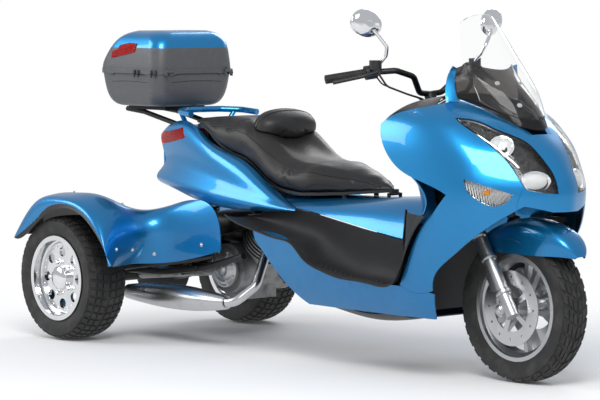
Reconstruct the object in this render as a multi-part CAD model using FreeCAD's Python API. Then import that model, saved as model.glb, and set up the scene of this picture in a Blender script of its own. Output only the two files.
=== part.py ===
import FreeCAD, Part
import math
import os
from FreeCAD import Placement, Rotation, Vector

# Motorized trike: one steered wheel in front, two driven wheels behind, a step-through
# scooter body and a top box. X points forward, Y to the left, Z up from the ground.

SIZES = {
    "wheelbase": 2060.0,
    "body_width": 700.0,
    "body_height": 1290.0,
    "front_axle_x": 1033.0,
    "rear_track": 900.0,
    "rear_tyre_radius": 245.0,
    "rear_tyre_width": 180.0,
    "rear_rim_radius": 167.0,
    "rear_rim_width": 166.0,
    "rear_hub_radius": 48.0,
    "front_tyre_radius": 264.0,
    "front_tyre_width": 120.0,
    "front_rim_radius": 193.0,
    "front_rim_width": 96.0,
    "front_hub_radius": 34.0,
    "front_hub_width": 106.0,
    "rim_wall": 6.0,
    "rim_drop": 22.0,
    "disc_radius": 133.0,
    "disc_thickness": 4.0,
    "disc_spacing": 126.0,
    "axle_radius": 9.0,
    "rear_spindle_radius": 14.0,
    "fork_rake": 32.0,
    "fork_offset": 35.0,
    "fork_leg_lead": 26.0,
    "fork_spacing": 196.0,
    "fork_slider_radius": 24.0,
    "fork_tube_radius": 17.5,
    "steering_stem_radius": 17.0,
    "head_tube_radius": 27.0,
    "head_tube_length": 190.0,
    "bar_radius": 11.0,
    "grip_radius": 16.0,
    "panel_wall": 4.0,
    "panel_seam": 0.6,
    "frame_tube_radius": 17.0,
    "axle_housing_radius": 32.0,
    "running_clearance": 0.3,
    "moving_clearance": 8.0,
    "fender_wall": 4.0,
    "box_wall": 4.0,
    "box_width": 400.0,
    "box_length": 400.0,
    "box_floor_height": 914.0,
    "box_base_height": 140.0,
    "box_lid_height": 160.0,
    "box_corner": 62.0,
    "box_band": 3.0,
    "hinge_radius": 6.0,
    "glass_wall": 4.0,
    "muffler_radius": 46.0,
    "cut_overrun": 40.0,
}

doc = FreeCAD.newDocument("trike")
sheet = doc.addObject("Spreadsheet::Sheet", "Sizes")
for row, (alias, value) in enumerate(SIZES.items(), 1):
    sheet.set("A%d" % row, alias.replace("_", " "))
    sheet.set("B%d" % row, str(value))
    sheet.setAlias("B%d" % row, alias)
doc.recompute()

kept = []


def size(alias):
    """Read one driving dimension from the sheet."""
    return float(sheet.get(alias))


def keep(obj, name):
    """Name a finished sub-part."""
    obj.Label = name
    kept.append((obj, name))
    return obj


def feature(name, shape, centre=None):
    """Keep a shape made with surface functions as a sub-part, moved to its centre."""
    obj = doc.addObject("Part::Feature", name)
    obj.Shape = shape
    if centre:
        obj.Placement = Placement(centre, Rotation())
    return keep(obj, name)


def at(share):
    """Place from shares of wheelbase, body width and body height, from the front axle's foot."""
    return Vector(
        size("front_axle_x") + share[0] * size("wheelbase"),
        share[1] * size("body_width"),
        share[2] * size("body_height"),
    )


def left_of(shape):
    """Mirror a right-hand shape to the left."""
    return shape.mirror(Vector(0, 0, 0), Vector(0, 1, 0))


def both_sides(shape):
    return Part.makeCompound([shape, left_of(shape)])


def side_point(share):
    return at((share[0], 0, share[1]))


def smooth_wire(points, corners=()):
    """Closed wire through points: smooth between the numbered corners."""
    if not corners:
        curve = Part.BSplineCurve()
        curve.interpolate(Points=points, PeriodicFlag=True)
        return Part.Wire([curve.toShape()])
    edges = []
    marks = list(corners) + [corners[0] + len(points)]
    for first, last in zip(marks, marks[1:]):
        run = [points[i % len(points)] for i in range(first, last + 1)]
        if len(run) == 2:
            edges.append(Part.LineSegment(run[0], run[1]).toShape())
            continue
        curve = Part.BSplineCurve()
        curve.interpolate(Points=run)
        edges.append(curve.toShape())
    return Part.Wire(edges)


def grown(points, distance):
    """Move each point of a closed outline in the XZ plane outward by a distance."""
    area = 0.0
    for a, b in zip(points, points[1:] + points[:1]):
        area += a.x * b.z - b.x * a.z
    turn = 1.0 if area > 0 else -1.0
    moved = []
    for i, point in enumerate(points):
        along = points[(i + 1) % len(points)] - points[i - 1]
        along.normalize()
        moved.append(point + Vector(along.z, 0, -along.x) * (distance * turn))
    return moved


def side_prism(shares, corners=(), grow=0.0, low=0.0, high=0.0):
    """Prism across the vehicle from an outline in the side view."""
    points = [side_point(share) for share in shares]
    if grow:
        points = grown(points, grow)
    start = low if low else -size("body_width")
    stop = high if high else 0.0
    points = [Vector(p.x, start, p.z) for p in points]
    face = Part.Face(smooth_wire(points, corners))
    return face.extrude(Vector(0, stop - start, 0))


def run_marks(rows):
    """Average share of the run at which each point of the rows lies."""
    total = [0.0] * len(rows[0])
    for row in rows:
        runs = [0.0]
        for a, b in zip(row, row[1:]):
            runs.append(runs[-1] + (b - a).Length)
        for i, run in enumerate(runs):
            total[i] += run / runs[-1]
    return [share / len(rows) for share in total]


def skin(grid):
    """Smooth surface through every point of a grid of rows."""
    along = run_marks(grid)
    across = run_marks(list(zip(*grid)))
    halfway = []
    for row in grid:
        curve = Part.BSplineCurve()
        curve.interpolate(Points=list(row), Parameters=along)
        halfway.append(curve.getPoles())
    poles = []
    for column in zip(*halfway):
        other = Part.BSplineCurve()
        other.interpolate(Points=list(column), Parameters=across)
        poles.append(other.getPoles())
    surface = Part.BSplineSurface()
    surface.buildFromPolesMultsKnots(
        poles, curve.getMultiplicities(), other.getMultiplicities(), curve.getKnots(),
        other.getKnots(), False, False, curve.Degree, other.Degree)
    return surface


def mean_knots(knots, counts, degree):
    """Parameter that each pole of a spline sits over."""
    full = []
    for knot, count in zip(knots, counts):
        full += [knot] * count
    poles = len(full) - degree - 1
    return [sum(full[i + 1:i + degree + 1]) / degree for i in range(poles)]


def inner_surface(outer, wall):
    """Copy of a spline surface with its poles moved along its normals."""
    u_marks = mean_knots(outer.getUKnots(), outer.getUMultiplicities(), outer.UDegree)
    v_marks = mean_knots(outer.getVKnots(), outer.getVMultiplicities(), outer.VDegree)
    inner = outer.copy()
    for i, u in enumerate(u_marks, 1):
        for j, v in enumerate(v_marks, 1):
            inner.setPole(i, j, outer.getPole(i, j) + outer.normal(u, v) * wall)
    return inner


def panel(grid, wall):
    """Panel of even wall thickness on a smooth surface through rows of points."""
    outer = skin(grid)
    inner = inner_surface(outer, wall)
    u_low, u_high, v_low, v_high = outer.bounds()
    rims = [
        (outer.uIso(u_low), inner.uIso(u_low)), (outer.uIso(u_high), inner.uIso(u_high)),
        (outer.vIso(v_low), inner.vIso(v_low)), (outer.vIso(v_high), inner.vIso(v_high)),
    ]
    faces = [outer.toShape(), inner.toShape()]
    for front, back in rims:
        strip = Part.BSplineSurface()
        strip.buildFromPolesMultsKnots(
            [front.getPoles(), back.getPoles()], [2, 2], front.getMultiplicities(), [0.0, 1.0],
            front.getKnots(), False, False, 1, front.Degree)
        faces.append(strip.toShape())
    sheets = Part.makeCompound(faces)
    sheets.sewShape()
    solid = Part.Solid(sheets.Shells[0])
    if solid.Volume < 0:
        solid.reverse()
    return solid


def largest(shape):
    solids = sorted(shape.Solids, key=lambda solid: -solid.Volume)
    return solids[0]


def bent_path(points, bend):
    """Straight runs joined by tangent arcs."""
    edges = []
    start = points[0]
    for before, corner, after in zip(points, points[1:], points[2:]):
        inward = (before - corner).normalize()
        outward = (after - corner).normalize()
        half = inward.getAngle(outward) / 2
        run = bend / math.tan(half)
        run = min(run, 0.45 * (before - corner).Length, 0.45 * (after - corner).Length)
        radius = run * math.tan(half)
        first = corner + inward * run
        last = corner + outward * run
        middle = corner + (inward + outward).normalize() * (radius / math.sin(half) - radius)
        edges.append(Part.LineSegment(start, first).toShape())
        edges.append(Part.Arc(first, middle, last).toShape())
        start = last
    edges.append(Part.LineSegment(start, points[-1]).toShape())
    return Part.Wire(edges)


def tube(points, radius, bend=0.0):
    """Round bar along a bent path."""
    if len(points) == 2:
        along = points[1] - points[0]
        return Part.makeCylinder(radius, along.Length, points[0], along)
    path = bent_path(points, bend)
    section = Part.Wire([Part.makeCircle(radius, points[0], points[1] - points[0])])
    return path.makePipeShell([section], True, False)


def fuse(shapes):
    return shapes[0].fuse(shapes[1:]).removeSplitter()


def ring(centre, half_width, half_height, flat_share):
    """Closed rounded section across the vehicle, flatter as the share grows."""
    points = []
    for step in range(12):
        angle = math.radians(30 * step)
        c, s = math.cos(angle), math.sin(angle)
        y = math.copysign(abs(c) ** flat_share, c) * half_width
        z = math.copysign(abs(s) ** flat_share, s) * half_height
        points.append(centre + Vector(0, y, z))
    return smooth_wire(points)


# Wheels
def revolve_profile(points):
    """Turn a profile given as radius and offset across around the Y axis."""
    corners = [Vector(radius, across, 0) for radius, across in points]
    wire = Part.makePolygon(corners + corners[:1])
    return Part.Face(wire).revolve(Vector(0, 0, 0), Vector(0, 1, 0), 360)


TYRE_SHARES = [(0.97, 0.4), (1.0, 0.6), (0.98, 0.8), (0.8, 0.93), (0.5, 0.985), (0.0, 1.0)]


def tyre_shape(radius, width, rim, rim_width):
    """Round-shouldered tyre seated between its rim's lips."""
    half, wall, gap = width / 2, size("rim_wall"), size("running_clearance")
    bead = rim - 2 * wall
    foot = Vector(bead, rim_width / 2 - 1.5 * wall - gap, 0)
    lip = Vector(rim + wall / 2, rim_width / 2 - wall - gap, 0)
    side = [lip] + [Vector(bead + (radius - bead) * up, half * out, 0) for out, up in TYRE_SHARES]
    other = [Vector(p.x, -p.y, 0) for p in side[:-1]]
    curve = Part.BSplineCurve()
    curve.interpolate(Points=side + other[::-1])
    far = Vector(foot.x, -foot.y, 0)
    wire = Part.Wire([
        Part.LineSegment(foot, lip).toShape(), curve.toShape(),
        Part.LineSegment(other[0], far).toShape(), Part.LineSegment(far, foot).toShape(),
    ])
    return Part.Face(wire).revolve(Vector(0, 0, 0), Vector(0, 1, 0), 360)


def rim_barrel(rim, width, bead_half):
    """Lipped barrel with a drop centre."""
    half = width / 2
    wall = size("rim_wall")
    seat = rim - wall * 2 - size("running_clearance")
    deep = rim - size("rim_drop") - wall
    well = half * 0.45
    profile = [
        (rim, half), (rim, half - wall), (seat, half - wall * 1.5), (seat, well + wall * 2),
        (deep, well), (deep, -well), (seat, -well - wall * 2), (seat, wall * 1.5 - half),
        (rim, wall - half), (rim, -half), (seat - wall, -half), (seat - wall, -well - wall * 2),
        (deep - wall, -well), (deep - wall, well), (seat - wall, well + wall * 2),
        (seat - wall, half),
    ]
    return revolve_profile(profile)


def wheel_centre(side):
    return Vector(
        size("front_axle_x") - size("wheelbase"),
        side * size("rear_track") / 2,
        size("rear_tyre_radius"),
    )


REAR_DISC_SHARE = 0.30
REAR_WINDOW_SHARE = 0.62


def rear_rim(side):
    """Deep-dish rim with a ring of rounded windows in its disc."""
    rim, width, wall = size("rear_rim_radius"), size("rear_rim_width"), size("rim_wall")
    barrel = rim_barrel(rim, width, size("rear_tyre_width") / 2)
    inside = rim - size("rim_drop") - 2 * wall
    face = side * width * REAR_DISC_SHARE
    hub = size("rear_hub_radius")
    back = min(face, face - side * 2 * wall)
    disc = Part.makeCylinder(inside + wall / 2, 2 * wall, Vector(0, back, 0), Vector(0, 1, 0))
    window = inside * 0.15
    for step in range(8):
        angle = math.radians(45 * step)
        spot = Vector(math.cos(angle), 0, math.sin(angle)) * (inside * REAR_WINDOW_SHARE + window)
        low = Vector(spot.x, back - wall, spot.z)
        disc = disc.cut(Part.makeCylinder(window, 4 * wall, low, Vector(0, 1, 0)))
    cap_length = abs(face) + 3 * wall
    hub_low = 0 if side > 0 else -cap_length
    cap = Part.makeCylinder(hub, cap_length, Vector(0, hub_low, 0), Vector(0, 1, 0))
    bore = size("rear_spindle_radius") + size("running_clearance")
    hole = Part.makeCylinder(bore, cap_length + size("cut_overrun"),
                             Vector(0, hub_low if side > 0 else hub_low + wall * 2, 0),
                             Vector(0, 1, 0))
    if side > 0:
        hole.translate(Vector(0, -size("cut_overrun") - wall * 2, 0))
    return fuse([barrel, disc, cap]).cut(hole)


def front_rim():
    """Cast rim with five twin spokes and a hub."""
    rim, width, wall = size("front_rim_radius"), size("front_rim_width"), size("rim_wall")
    barrel = rim_barrel(rim, width, size("front_tyre_width") / 2)
    inside = rim - size("rim_drop") - 2 * wall
    hub_half = size("front_hub_width") / 2
    hub = Part.makeCylinder(size("front_hub_radius"), 2 * hub_half, Vector(0, -hub_half, 0),
                            Vector(0, 1, 0))
    pieces = [barrel, hub]
    spoke = Part.makeBox(inside + wall / 2, 4 * wall, 3 * wall, Vector(0, -2 * wall, -1.5 * wall))
    for step in range(5):
        for lean in (-9, 9):
            arm = spoke.copy()
            arm.rotate(Vector(0, 0, 0), Vector(0, 1, 0), 72 * step + lean)
            pieces.append(arm)
    solid = fuse(pieces)
    bore = size("axle_radius") + size("running_clearance")
    hole = Part.makeCylinder(bore, 2 * hub_half + size("cut_overrun"),
                             Vector(0, -hub_half - size("cut_overrun") / 2, 0), Vector(0, 1, 0))
    return solid.cut(hole)


def front_discs():
    """Pair of drilled brake discs on the front hub."""
    pair = []
    radius, thick = size("disc_radius"), size("disc_thickness")
    hub, half = size("front_hub_radius"), size("disc_spacing") / 2
    carrier_half = size("front_hub_width") / 2
    for side in (-1, 1):
        disc = Part.makeCylinder(radius, thick, Vector(0, -thick / 2, 0), Vector(0, 1, 0))
        disc = disc.cut(Part.makeCylinder(radius * 0.62, thick * 3, Vector(0, -thick * 1.5, 0),
                                          Vector(0, 1, 0)))
        for step in range(12):
            angle = math.radians(30 * step)
            spot = Vector(math.cos(angle), 0, math.sin(angle)) * (radius * 0.82)
            disc = disc.cut(Part.makeCylinder(radius * 0.035, thick * 3,
                                              spot - Vector(0, thick * 1.5, 0), Vector(0, 1, 0)))
        arm = Part.makeBox(radius * 0.7, thick, radius * 0.16,
                           Vector(0, -thick / 2, -radius * 0.08))
        arms = []
        for step in range(5):
            piece = arm.copy()
            piece.rotate(Vector(0, 0, 0), Vector(0, 1, 0), 72 * step + 36)
            arms.append(piece)
        reach = half + thick / 2 - carrier_half
        low = -thick / 2 if side < 0 else thick / 2 - reach
        boss = Part.makeCylinder(hub, reach, Vector(0, low, 0), Vector(0, 1, 0))
        whole = fuse([disc, boss] + arms)
        whole = whole.cut(Part.makeCylinder(size("axle_radius") + size("running_clearance"),
                                            reach * 3, Vector(0, low - reach, 0),
                                            Vector(0, 1, 0)))
        whole.translate(Vector(0, side * half, 0))
        pair.append(whole)
    return Part.makeCompound(pair)


FRONT_CENTRE = Vector(size("front_axle_x"), 0, size("front_tyre_radius"))
feature("front_tyre", tyre_shape(size("front_tyre_radius"), size("front_tyre_width"),
                                 size("front_rim_radius"), size("front_rim_width")), FRONT_CENTRE)
feature("front_rim", front_rim(), FRONT_CENTRE)
feature("front_discs", front_discs(), FRONT_CENTRE)
for word, side in (("right", -1), ("left", 1)):
    tyre = tyre_shape(size("rear_tyre_radius"), size("rear_tyre_width"),
                      size("rear_rim_radius"), size("rear_rim_width"))
    feature("rear_tyre_" + word, tyre, wheel_centre(side))
    feature("rear_rim_" + word, rear_rim(side), wheel_centre(side))


# Steering
RAKE = math.radians(size("fork_rake"))
UP_AXIS = Vector(-math.sin(RAKE), 0, math.cos(RAKE))
FORE_AXIS = Vector(math.cos(RAKE), 0, math.sin(RAKE))
STEER_POINT = FRONT_CENTRE - FORE_AXIS * size("fork_offset")


def on_axis(up, fore=0.0, across=0.0):
    """Place measured up the steering axis, ahead of it and across."""
    return STEER_POINT + UP_AXIS * up + FORE_AXIS * fore + Vector(0, across, 0)


CLAMP_LOW_SHARE = 0.42
CLAMP_HIGH_SHARE = 0.60
HEAD_LOW = 0.455 * size("body_height")
HEAD_HIGH = HEAD_LOW + size("head_tube_length")


def fork():
    """Two legs with sliders, one lower clamp, the stem and the axle."""
    half = size("fork_spacing") / 2
    offset = size("fork_offset")
    lead = offset + size("fork_leg_lead")
    slider = size("fork_slider_radius")
    upper = size("fork_tube_radius")
    slider_top = HEAD_LOW * 0.55
    clamp_low = HEAD_LOW - size("head_tube_radius") * 1.2
    pieces = []
    for side in (-1, 1):
        across = side * half
        pieces.append(tube([on_axis(-1.8 * slider, lead, across),
                            on_axis(slider_top, lead, across)], slider))
        pieces.append(tube([on_axis(0, lead, across),
                            on_axis(clamp_low + slider, lead, across)], upper))
        pieces.append(tube([on_axis(0, offset, across - slider),
                            on_axis(0, offset, across + slider)], slider))
    clamp_thick = size("head_tube_radius") - size("running_clearance")
    low_plate = on_axis(HEAD_LOW - clamp_thick - size("running_clearance"))
    turn = Rotation(Vector(0, 1, 0), -size("fork_rake"))
    plate = Part.makeBox(2.8 * upper, 2 * half + 2.6 * upper, clamp_thick,
                         Vector(lead - 1.4 * upper, -half - 1.3 * upper, 0))
    plate = plate.fuse(Part.makeBox(lead + 1.2 * upper, 3.2 * upper, clamp_thick,
                                    Vector(-1.2 * upper, -1.6 * upper, 0)))
    plate.Placement = Placement(low_plate, turn)
    stem_low = on_axis(HEAD_LOW - clamp_thick)
    stem_high = on_axis(HEAD_HIGH + size("head_tube_radius") * 2)
    stem = tube([stem_low, stem_high], size("steering_stem_radius"))
    nut = tube([on_axis(HEAD_HIGH + size("running_clearance")),
                on_axis(HEAD_HIGH + size("head_tube_radius"))],
               size("head_tube_radius"))
    axle = tube([on_axis(0, offset, -half), on_axis(0, offset, half)], size("axle_radius"))
    return fuse(pieces + [plate, stem, nut, axle])


fork_shape = fork()
feature("fork", fork_shape)


def brake_calipers():
    """Pair of calipers that straddle the discs behind the fork legs."""
    slider = size("fork_slider_radius")
    lead = size("fork_offset") + size("fork_leg_lead")
    across = size("disc_spacing") / 2
    slot = size("disc_thickness") * 2
    body = Part.makeBox(2.2 * slider, 1.4 * slider, 2.8 * slider,
                        Vector(lead - 2.7 * slider, -0.7 * slider, 0.62 * size("disc_radius")))
    edges = [edge for edge in body.Edges if abs(edge.tangentAt(0).y) > 0.9]
    body = body.makeFillet(slider * 0.45, edges)
    gap = Part.makeBox(6 * slider, slot, 0.54 * size("disc_radius"),
                       Vector(-3 * slider, -slot / 2, 0.5 * size("disc_radius")))
    piston = tube([Vector(lead - 1.7 * slider, -0.95 * slider, 0.92 * size("disc_radius")),
                   Vector(lead - 1.7 * slider, -0.5 * slider, 0.92 * size("disc_radius"))],
                  slider * 0.6)
    whole = body.cut(gap).fuse(piston)
    whole.Placement = Placement(STEER_POINT - Vector(0, across, 0),
                                Rotation(Vector(0, 1, 0), -size("fork_rake")))
    return both_sides(largest(whole.cut(fork_shape)))


feature("brake_calipers", brake_calipers())


BAR_SHARES = [
        (-0.2354, 0, 0.7752), (-0.2335, -0.0786, 0.7791), (-0.2194, -0.16, 0.8264),
        (-0.2282, -0.2571, 0.8434), (-0.2602, -0.3571, 0.838), (-0.2922, -0.5429, 0.8209),
    ]
STEM_TOP = HEAD_HIGH + size("head_tube_radius") * 2


def bar_points():
    return [at(share) for share in BAR_SHARES]


def handlebar():
    """One-piece bar with raised, swept ends on a riser that stands on the stem."""
    right = bar_points()
    radius = size("bar_radius")
    bar = tube(right[::-1] + [Vector(p.x, -p.y, p.z) for p in right[1:]], radius, 3 * radius)
    foot = HEAD_HIGH + size("head_tube_radius") + size("running_clearance")
    sleeve = tube([on_axis(foot), on_axis(STEM_TOP)], size("head_tube_radius"))
    riser = tube([on_axis(STEM_TOP), right[0]], size("head_tube_radius") * 0.8)
    solid = fuse([bar, sleeve, riser])
    return solid.cut(tube([on_axis(foot - radius), on_axis(STEM_TOP)],
                          size("steering_stem_radius")))


bar_shape = handlebar()
feature("handlebar", bar_shape)


def grips():
    """Pair of rubber grips that sleeve the bar's ends."""
    points = bar_points()
    inner, end = points[4], points[5]
    along = (end - inner).normalize()
    grip = tube([inner + along * size("grip_radius"), end + along * size("grip_radius")],
                size("grip_radius"))
    return both_sides(grip.cut(bar_shape))


feature("grips", grips())


def switchgear():
    """Switch housing, lever perch, reservoir and lever beside one grip."""
    points = bar_points()
    inner, end = points[4], points[5]
    along = (end - inner).normalize()
    fore = along.cross(Vector(0, 0, -1))
    grip = size("grip_radius")
    housing = tube([inner + along * grip, inner - along * (1.6 * grip)], 1.6 * grip)
    root = inner - along * grip
    perch = tube([root, root + fore * 3.2 * grip], 0.9 * grip)
    tank = tube([root + fore * 1.6 * grip + Vector(0, 0, grip * 0.5),
                 root + fore * 1.6 * grip + Vector(0, 0, grip * 2.6)], 1.4 * grip)
    pivot = root + fore * (3.2 * grip)
    bend = inner + along * (2 * grip) + fore * (3.4 * grip) - Vector(0, 0, grip * 0.4)
    tip = end + fore * (2.8 * grip) - Vector(0, 0, grip * 0.8)
    lever = tube([pivot, bend, tip], 0.42 * grip, 3 * grip)
    return largest(fuse([housing, perch, tank, lever]).cut(bar_shape))


switch_side = switchgear()
feature("switchgear", both_sides(switch_side))

CABLE_SHARES = [
    [
        (-0.2485, -0.3229, 0.8341), (-0.234, -0.3057, 0.8), (-0.2165, -0.2143, 0.7783),
        (-0.2175, -0.1, 0.7628), (-0.2262, -0.0229, 0.7411),
    ],
    [
        (-0.2563, -0.3314, 0.8326), (-0.2427, -0.3171, 0.8062), (-0.2243, -0.2286, 0.7829),
        (-0.2262, -0.1143, 0.7674), (-0.232, -0.0257, 0.7457),
    ],
]
CABLE_RADIUS_SHARES = (0.33, 0.26)


def control_cables():
    """Brake hose and throttle cable from each switch housing to the steering head."""
    runs = []
    for shares, thick in zip(CABLE_SHARES, CABLE_RADIUS_SHARES):
        radius = thick * size("bar_radius")
        run = tube([at(share) for share in shares], radius, 9 * radius)
        runs.append(largest(run.cut([bar_shape, switch_side])))
    return both_sides(Part.makeCompound(runs))


feature("control_cables", control_cables())


MIRROR_SHARES = [
        (-0.2417, -0.3371, 0.862), (-0.2243, -0.3371, 0.8853), (-0.217, -0.3514, 0.9109),
        (-0.2223, -0.4086, 0.9473),
    ]
MIRROR_HEAD_SHARE = [
        (-0.235, -0.4429, 0.9752),
    ]
MIRROR_AXES_SHARES = (0.0886, 0.070, 0.036)
MIRROR_DOME_SHARES = [(-0.35, 0.94), (0.0, 1.0), (0.35, 0.93), (0.65, 0.75), (0.88, 0.46),
                      (0.98, 0.18)]


def dome(table, deep, wide, tall, flat_share):
    """Loft of rounded sections along X."""
    rings = [ring(Vector(along * deep, 0, 0), swell * wide, swell * tall, flat_share)
             for along, swell in table]
    return Part.makeLoft(rings, True, False)


def mirror(side):
    """Domed mirror head on a curved stem."""
    stem_points = [at(share) for share in MIRROR_SHARES]
    head = at(MIRROR_HEAD_SHARE[0])
    wide, tall, deep = [share * size("body_width") for share in MIRROR_AXES_SHARES]
    shell = dome(MIRROR_DOME_SHARES, deep, wide, tall, 1.0)
    shell.rotate(Vector(0, 0, 0), Vector(1, 0, 0), -20)
    shell.rotate(Vector(0, 0, 0), Vector(0, 0, 1), -12)
    shell.translate(head)
    stem = tube(stem_points + [head + Vector(deep * 0.3, 0, 0)], size("bar_radius") * 0.6,
                size("bar_radius") * 2)
    solid = largest(fuse([shell, stem]).cut(switch_side))
    return solid if side < 0 else left_of(solid)


feature("mirror_right", mirror(-1))
feature("mirror_left", mirror(1))


FENDER_WIDTH_SHARES = [-1.0, -0.985, -0.86, -0.5, 0.0, 0.5, 0.86, 0.985, 1.0]
FENDER_RISE_SHARES = [0.0, 0.45, 0.8, 0.96, 1.0, 0.96, 0.8, 0.45, 0.0]
FENDER_ARC = [126, 112, 98, 82, 66, 52, 42, 35]
FENDER_CROWN_SHARES = [1.105, 1.135, 1.165, 1.22, 1.28, 1.335, 1.335, 1.29]
FENDER_EDGE_SHARES = [0.90, 0.79, 0.74, 0.74, 0.80, 0.93, 1.10, 1.24]
FENDER_SIDE_SHARES = [0.94, 1.0, 1.0, 1.0, 1.0, 0.98, 0.74, 0.3]


def front_fender():
    """Fender over the front wheel with a pointed front tip and flanks beside the tyre."""
    radius = size("front_tyre_radius")
    half = size("fork_spacing") / 2 - size("fork_slider_radius") - size("running_clearance")
    rows = []
    for angle, crown, edge, wide in zip(FENDER_ARC, FENDER_CROWN_SHARES, FENDER_EDGE_SHARES,
                                        FENDER_SIDE_SHARES):
        row = []
        turn = math.radians(angle)
        for across, rise in zip(FENDER_WIDTH_SHARES, FENDER_RISE_SHARES):
            reach = radius * (edge + (crown - edge) * rise)
            row.append(FRONT_CENTRE + Vector(math.cos(turn) * reach, across * half * wide,
                                             math.sin(turn) * reach))
        rows.append(row)
    return largest(panel(rows, size("fender_wall")).cut(fork_shape))


feature("front_fender", front_fender())


# Body hull
HULL_LEVEL_SHARES = [
        (0.0728, 0.1744), (0.0898, 0.2558), (0.0981, 0.3488), (0.1029, 0.4341), (0.1078, 0.4961),
        (0.1073, 0.5426), (0.0927, 0.5891), (0.0728, 0.6357), (0.0447, 0.6744), (0.0184, 0.7054),
        (-0.0146, 0.7326), (-0.0461, 0.7558), (-0.0728, 0.7752),
    ]
HULL_HALF_SHARES = [0.4, 0.45, 0.4686, 0.4771, 0.4829, 0.4829, 0.4829, 0.48, 0.4714, 0.4543,
                    0.4229, 0.3743, 0.3071]
HULL_PLAN_SHARES = [(0, 0), (0.024, 0.16), (0.087, 0.385), (0.158, 0.535), (0.253, 0.71),
                    (0.316, 0.80), (0.485, 0.925), (0.671, 0.98), (1, 1)]
HULL_FULL_SHARE = -0.2005
HULL_REAR_SHARES = [-0.29, -0.38, -0.47, -0.565]
HULL_TAPER_SHARES = [1.0, 0.985, 0.96, 0.93]


def hull_rows():
    rows = []
    for (nose, height), half in zip(HULL_LEVEL_SHARES, HULL_HALF_SHARES):
        run = nose - HULL_FULL_SHARE
        line = [(nose - run * back, half * wide) for back, wide in HULL_PLAN_SHARES]
        line += [(x, half * taper) for x, taper in zip(HULL_REAR_SHARES, HULL_TAPER_SHARES)]
        right = [at((x, -y, height)) for x, y in line]
        left = [Vector(p.x, -p.y, p.z) for p in right[1:]]
        rows.append(right[::-1] + left)
    return rows


HULL = panel(hull_rows(), -size("panel_wall"))


HEADLIGHT_OUTLINE_SHARES = [
        (-0.056, 0.7221), (-0.0235, 0.7122), (0.0065, 0.6906), (0.037, 0.6666), (0.0638, 0.6329),
        (0.0838, 0.5928), (0.0992, 0.5498), (0.1025, 0.5234), (0.0908, 0.5274), (0.0738, 0.5378),
        (0.0602, 0.5719), (0.0409, 0.6117), (0.0107, 0.6543), (-0.0315, 0.6986),
    ]
SIGNAL_OUTLINE_SHARES = [
        (-0.0061, 0.5615), (0.0269, 0.5444), (0.0598, 0.5225), (0.0414, 0.4915),
        (0.0176, 0.5064), (-0.0032, 0.5433),
    ]
FAIRING_OUTLINE_SHARES = [
        (-0.1927, 0.7001), (-0.149, 0.7382), (-0.1006, 0.7578), (-0.089, 0.7674),
        (-0.0474, 0.7449), (0.0039, 0.7087),
    ] + [
        (0.0364, 0.6767), (0.0728, 0.686), (0.1553, 0.686), (0.1553, 0.4744), (0.0971, 0.4744),
    ] + [
        (0.0837, 0.4855), (0.0723, 0.4908), (0.035, 0.4451), (0.009, 0.4083), (-0.0372, 0.3433),
        (-0.0655, 0.299), (-0.0729, 0.2563), (-0.1169, 0.2459), (-0.1466, 0.2635),
        (-0.129, 0.3131), (-0.1084, 0.3781), (-0.0636, 0.4653), (-0.0361, 0.5189),
        (-0.0791, 0.5468), (-0.1413, 0.5837), (-0.175, 0.6335),
    ]
FAIRING_CORNERS = (0, 3, 6, 7, 8, 9, 10, 12, 17, 19, 22, 23)
COWL_OUTLINE_SHARES = [
        (-0.022, 0.7246), (0.0181, 0.6835), (0.0463, 0.6471), (0.0674, 0.6026), (0.0719, 0.5529),
        (0.0698, 0.5307), (0.0636, 0.4918),
    ] + [
        (0.0728, 0.4341), (0.1553, 0.4341), (0.1553, 0.7674), (0.0097, 0.7674),
    ]
LOWER_OUTLINE_SHARES = [
        (-0.5418, 0.3732), (-0.4881, 0.3731), (-0.441, 0.3592), (-0.4109, 0.3296),
        (-0.3863, 0.305), (-0.3374, 0.2758), (-0.2585, 0.2604), (-0.147, 0.2603),
        (-0.0702, 0.2461), (-0.0801, 0.1754), (-0.1511, 0.1588), (-0.248, 0.1497),
        (-0.3489, 0.1487), (-0.4098, 0.1778), (-0.4543, 0.2249), (-0.4935, 0.2816),
        (-0.5376, 0.3458),
    ]

headlight_prism = side_prism(HEADLIGHT_OUTLINE_SHARES, corners=(0, 7, 9))
headlight_hole = side_prism(HEADLIGHT_OUTLINE_SHARES, corners=(0, 7, 9), grow=size("panel_seam"))
signal_prism = side_prism(SIGNAL_OUTLINE_SHARES, corners=(0, 2, 4))
signal_hole = side_prism(SIGNAL_OUTLINE_SHARES, corners=(0, 2, 4), grow=size("panel_seam"))
fairing_prism = side_prism(FAIRING_OUTLINE_SHARES, corners=FAIRING_CORNERS)
half_hull = HULL.common(Part.makeBox(3 * size("wheelbase"), size("body_width"),
                                     2 * size("body_height"),
                                     Vector(-size("wheelbase"), -size("body_width"), 0)))
cowl_corners = (0, 6, 7, 8, 9, 10)
cowl_prism = side_prism(COWL_OUTLINE_SHARES, corners=cowl_corners, high=size("body_width"))
cowl_hole = side_prism(COWL_OUTLINE_SHARES, corners=cowl_corners, grow=size("panel_seam"))
side_fairing = largest(half_hull.common(fairing_prism).cut(headlight_hole).cut(signal_hole)
                       .cut(cowl_hole))
headlight = largest(half_hull.common(headlight_prism))
signal = largest(half_hull.common(signal_prism))
lower = largest(half_hull.common(side_prism(LOWER_OUTLINE_SHARES, corners=(0, 8, 9, 16)))
                .cut(side_prism(FAIRING_OUTLINE_SHARES, corners=FAIRING_CORNERS,
                                grow=size("panel_seam"))))
both_fairings = fairing_prism.fuse(left_of(fairing_prism))
nose_cowl = largest(HULL.common(cowl_prism).common(both_fairings).cut(
    [headlight_hole, left_of(headlight_hole)]))
feature("nose_cowl", nose_cowl)
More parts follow.
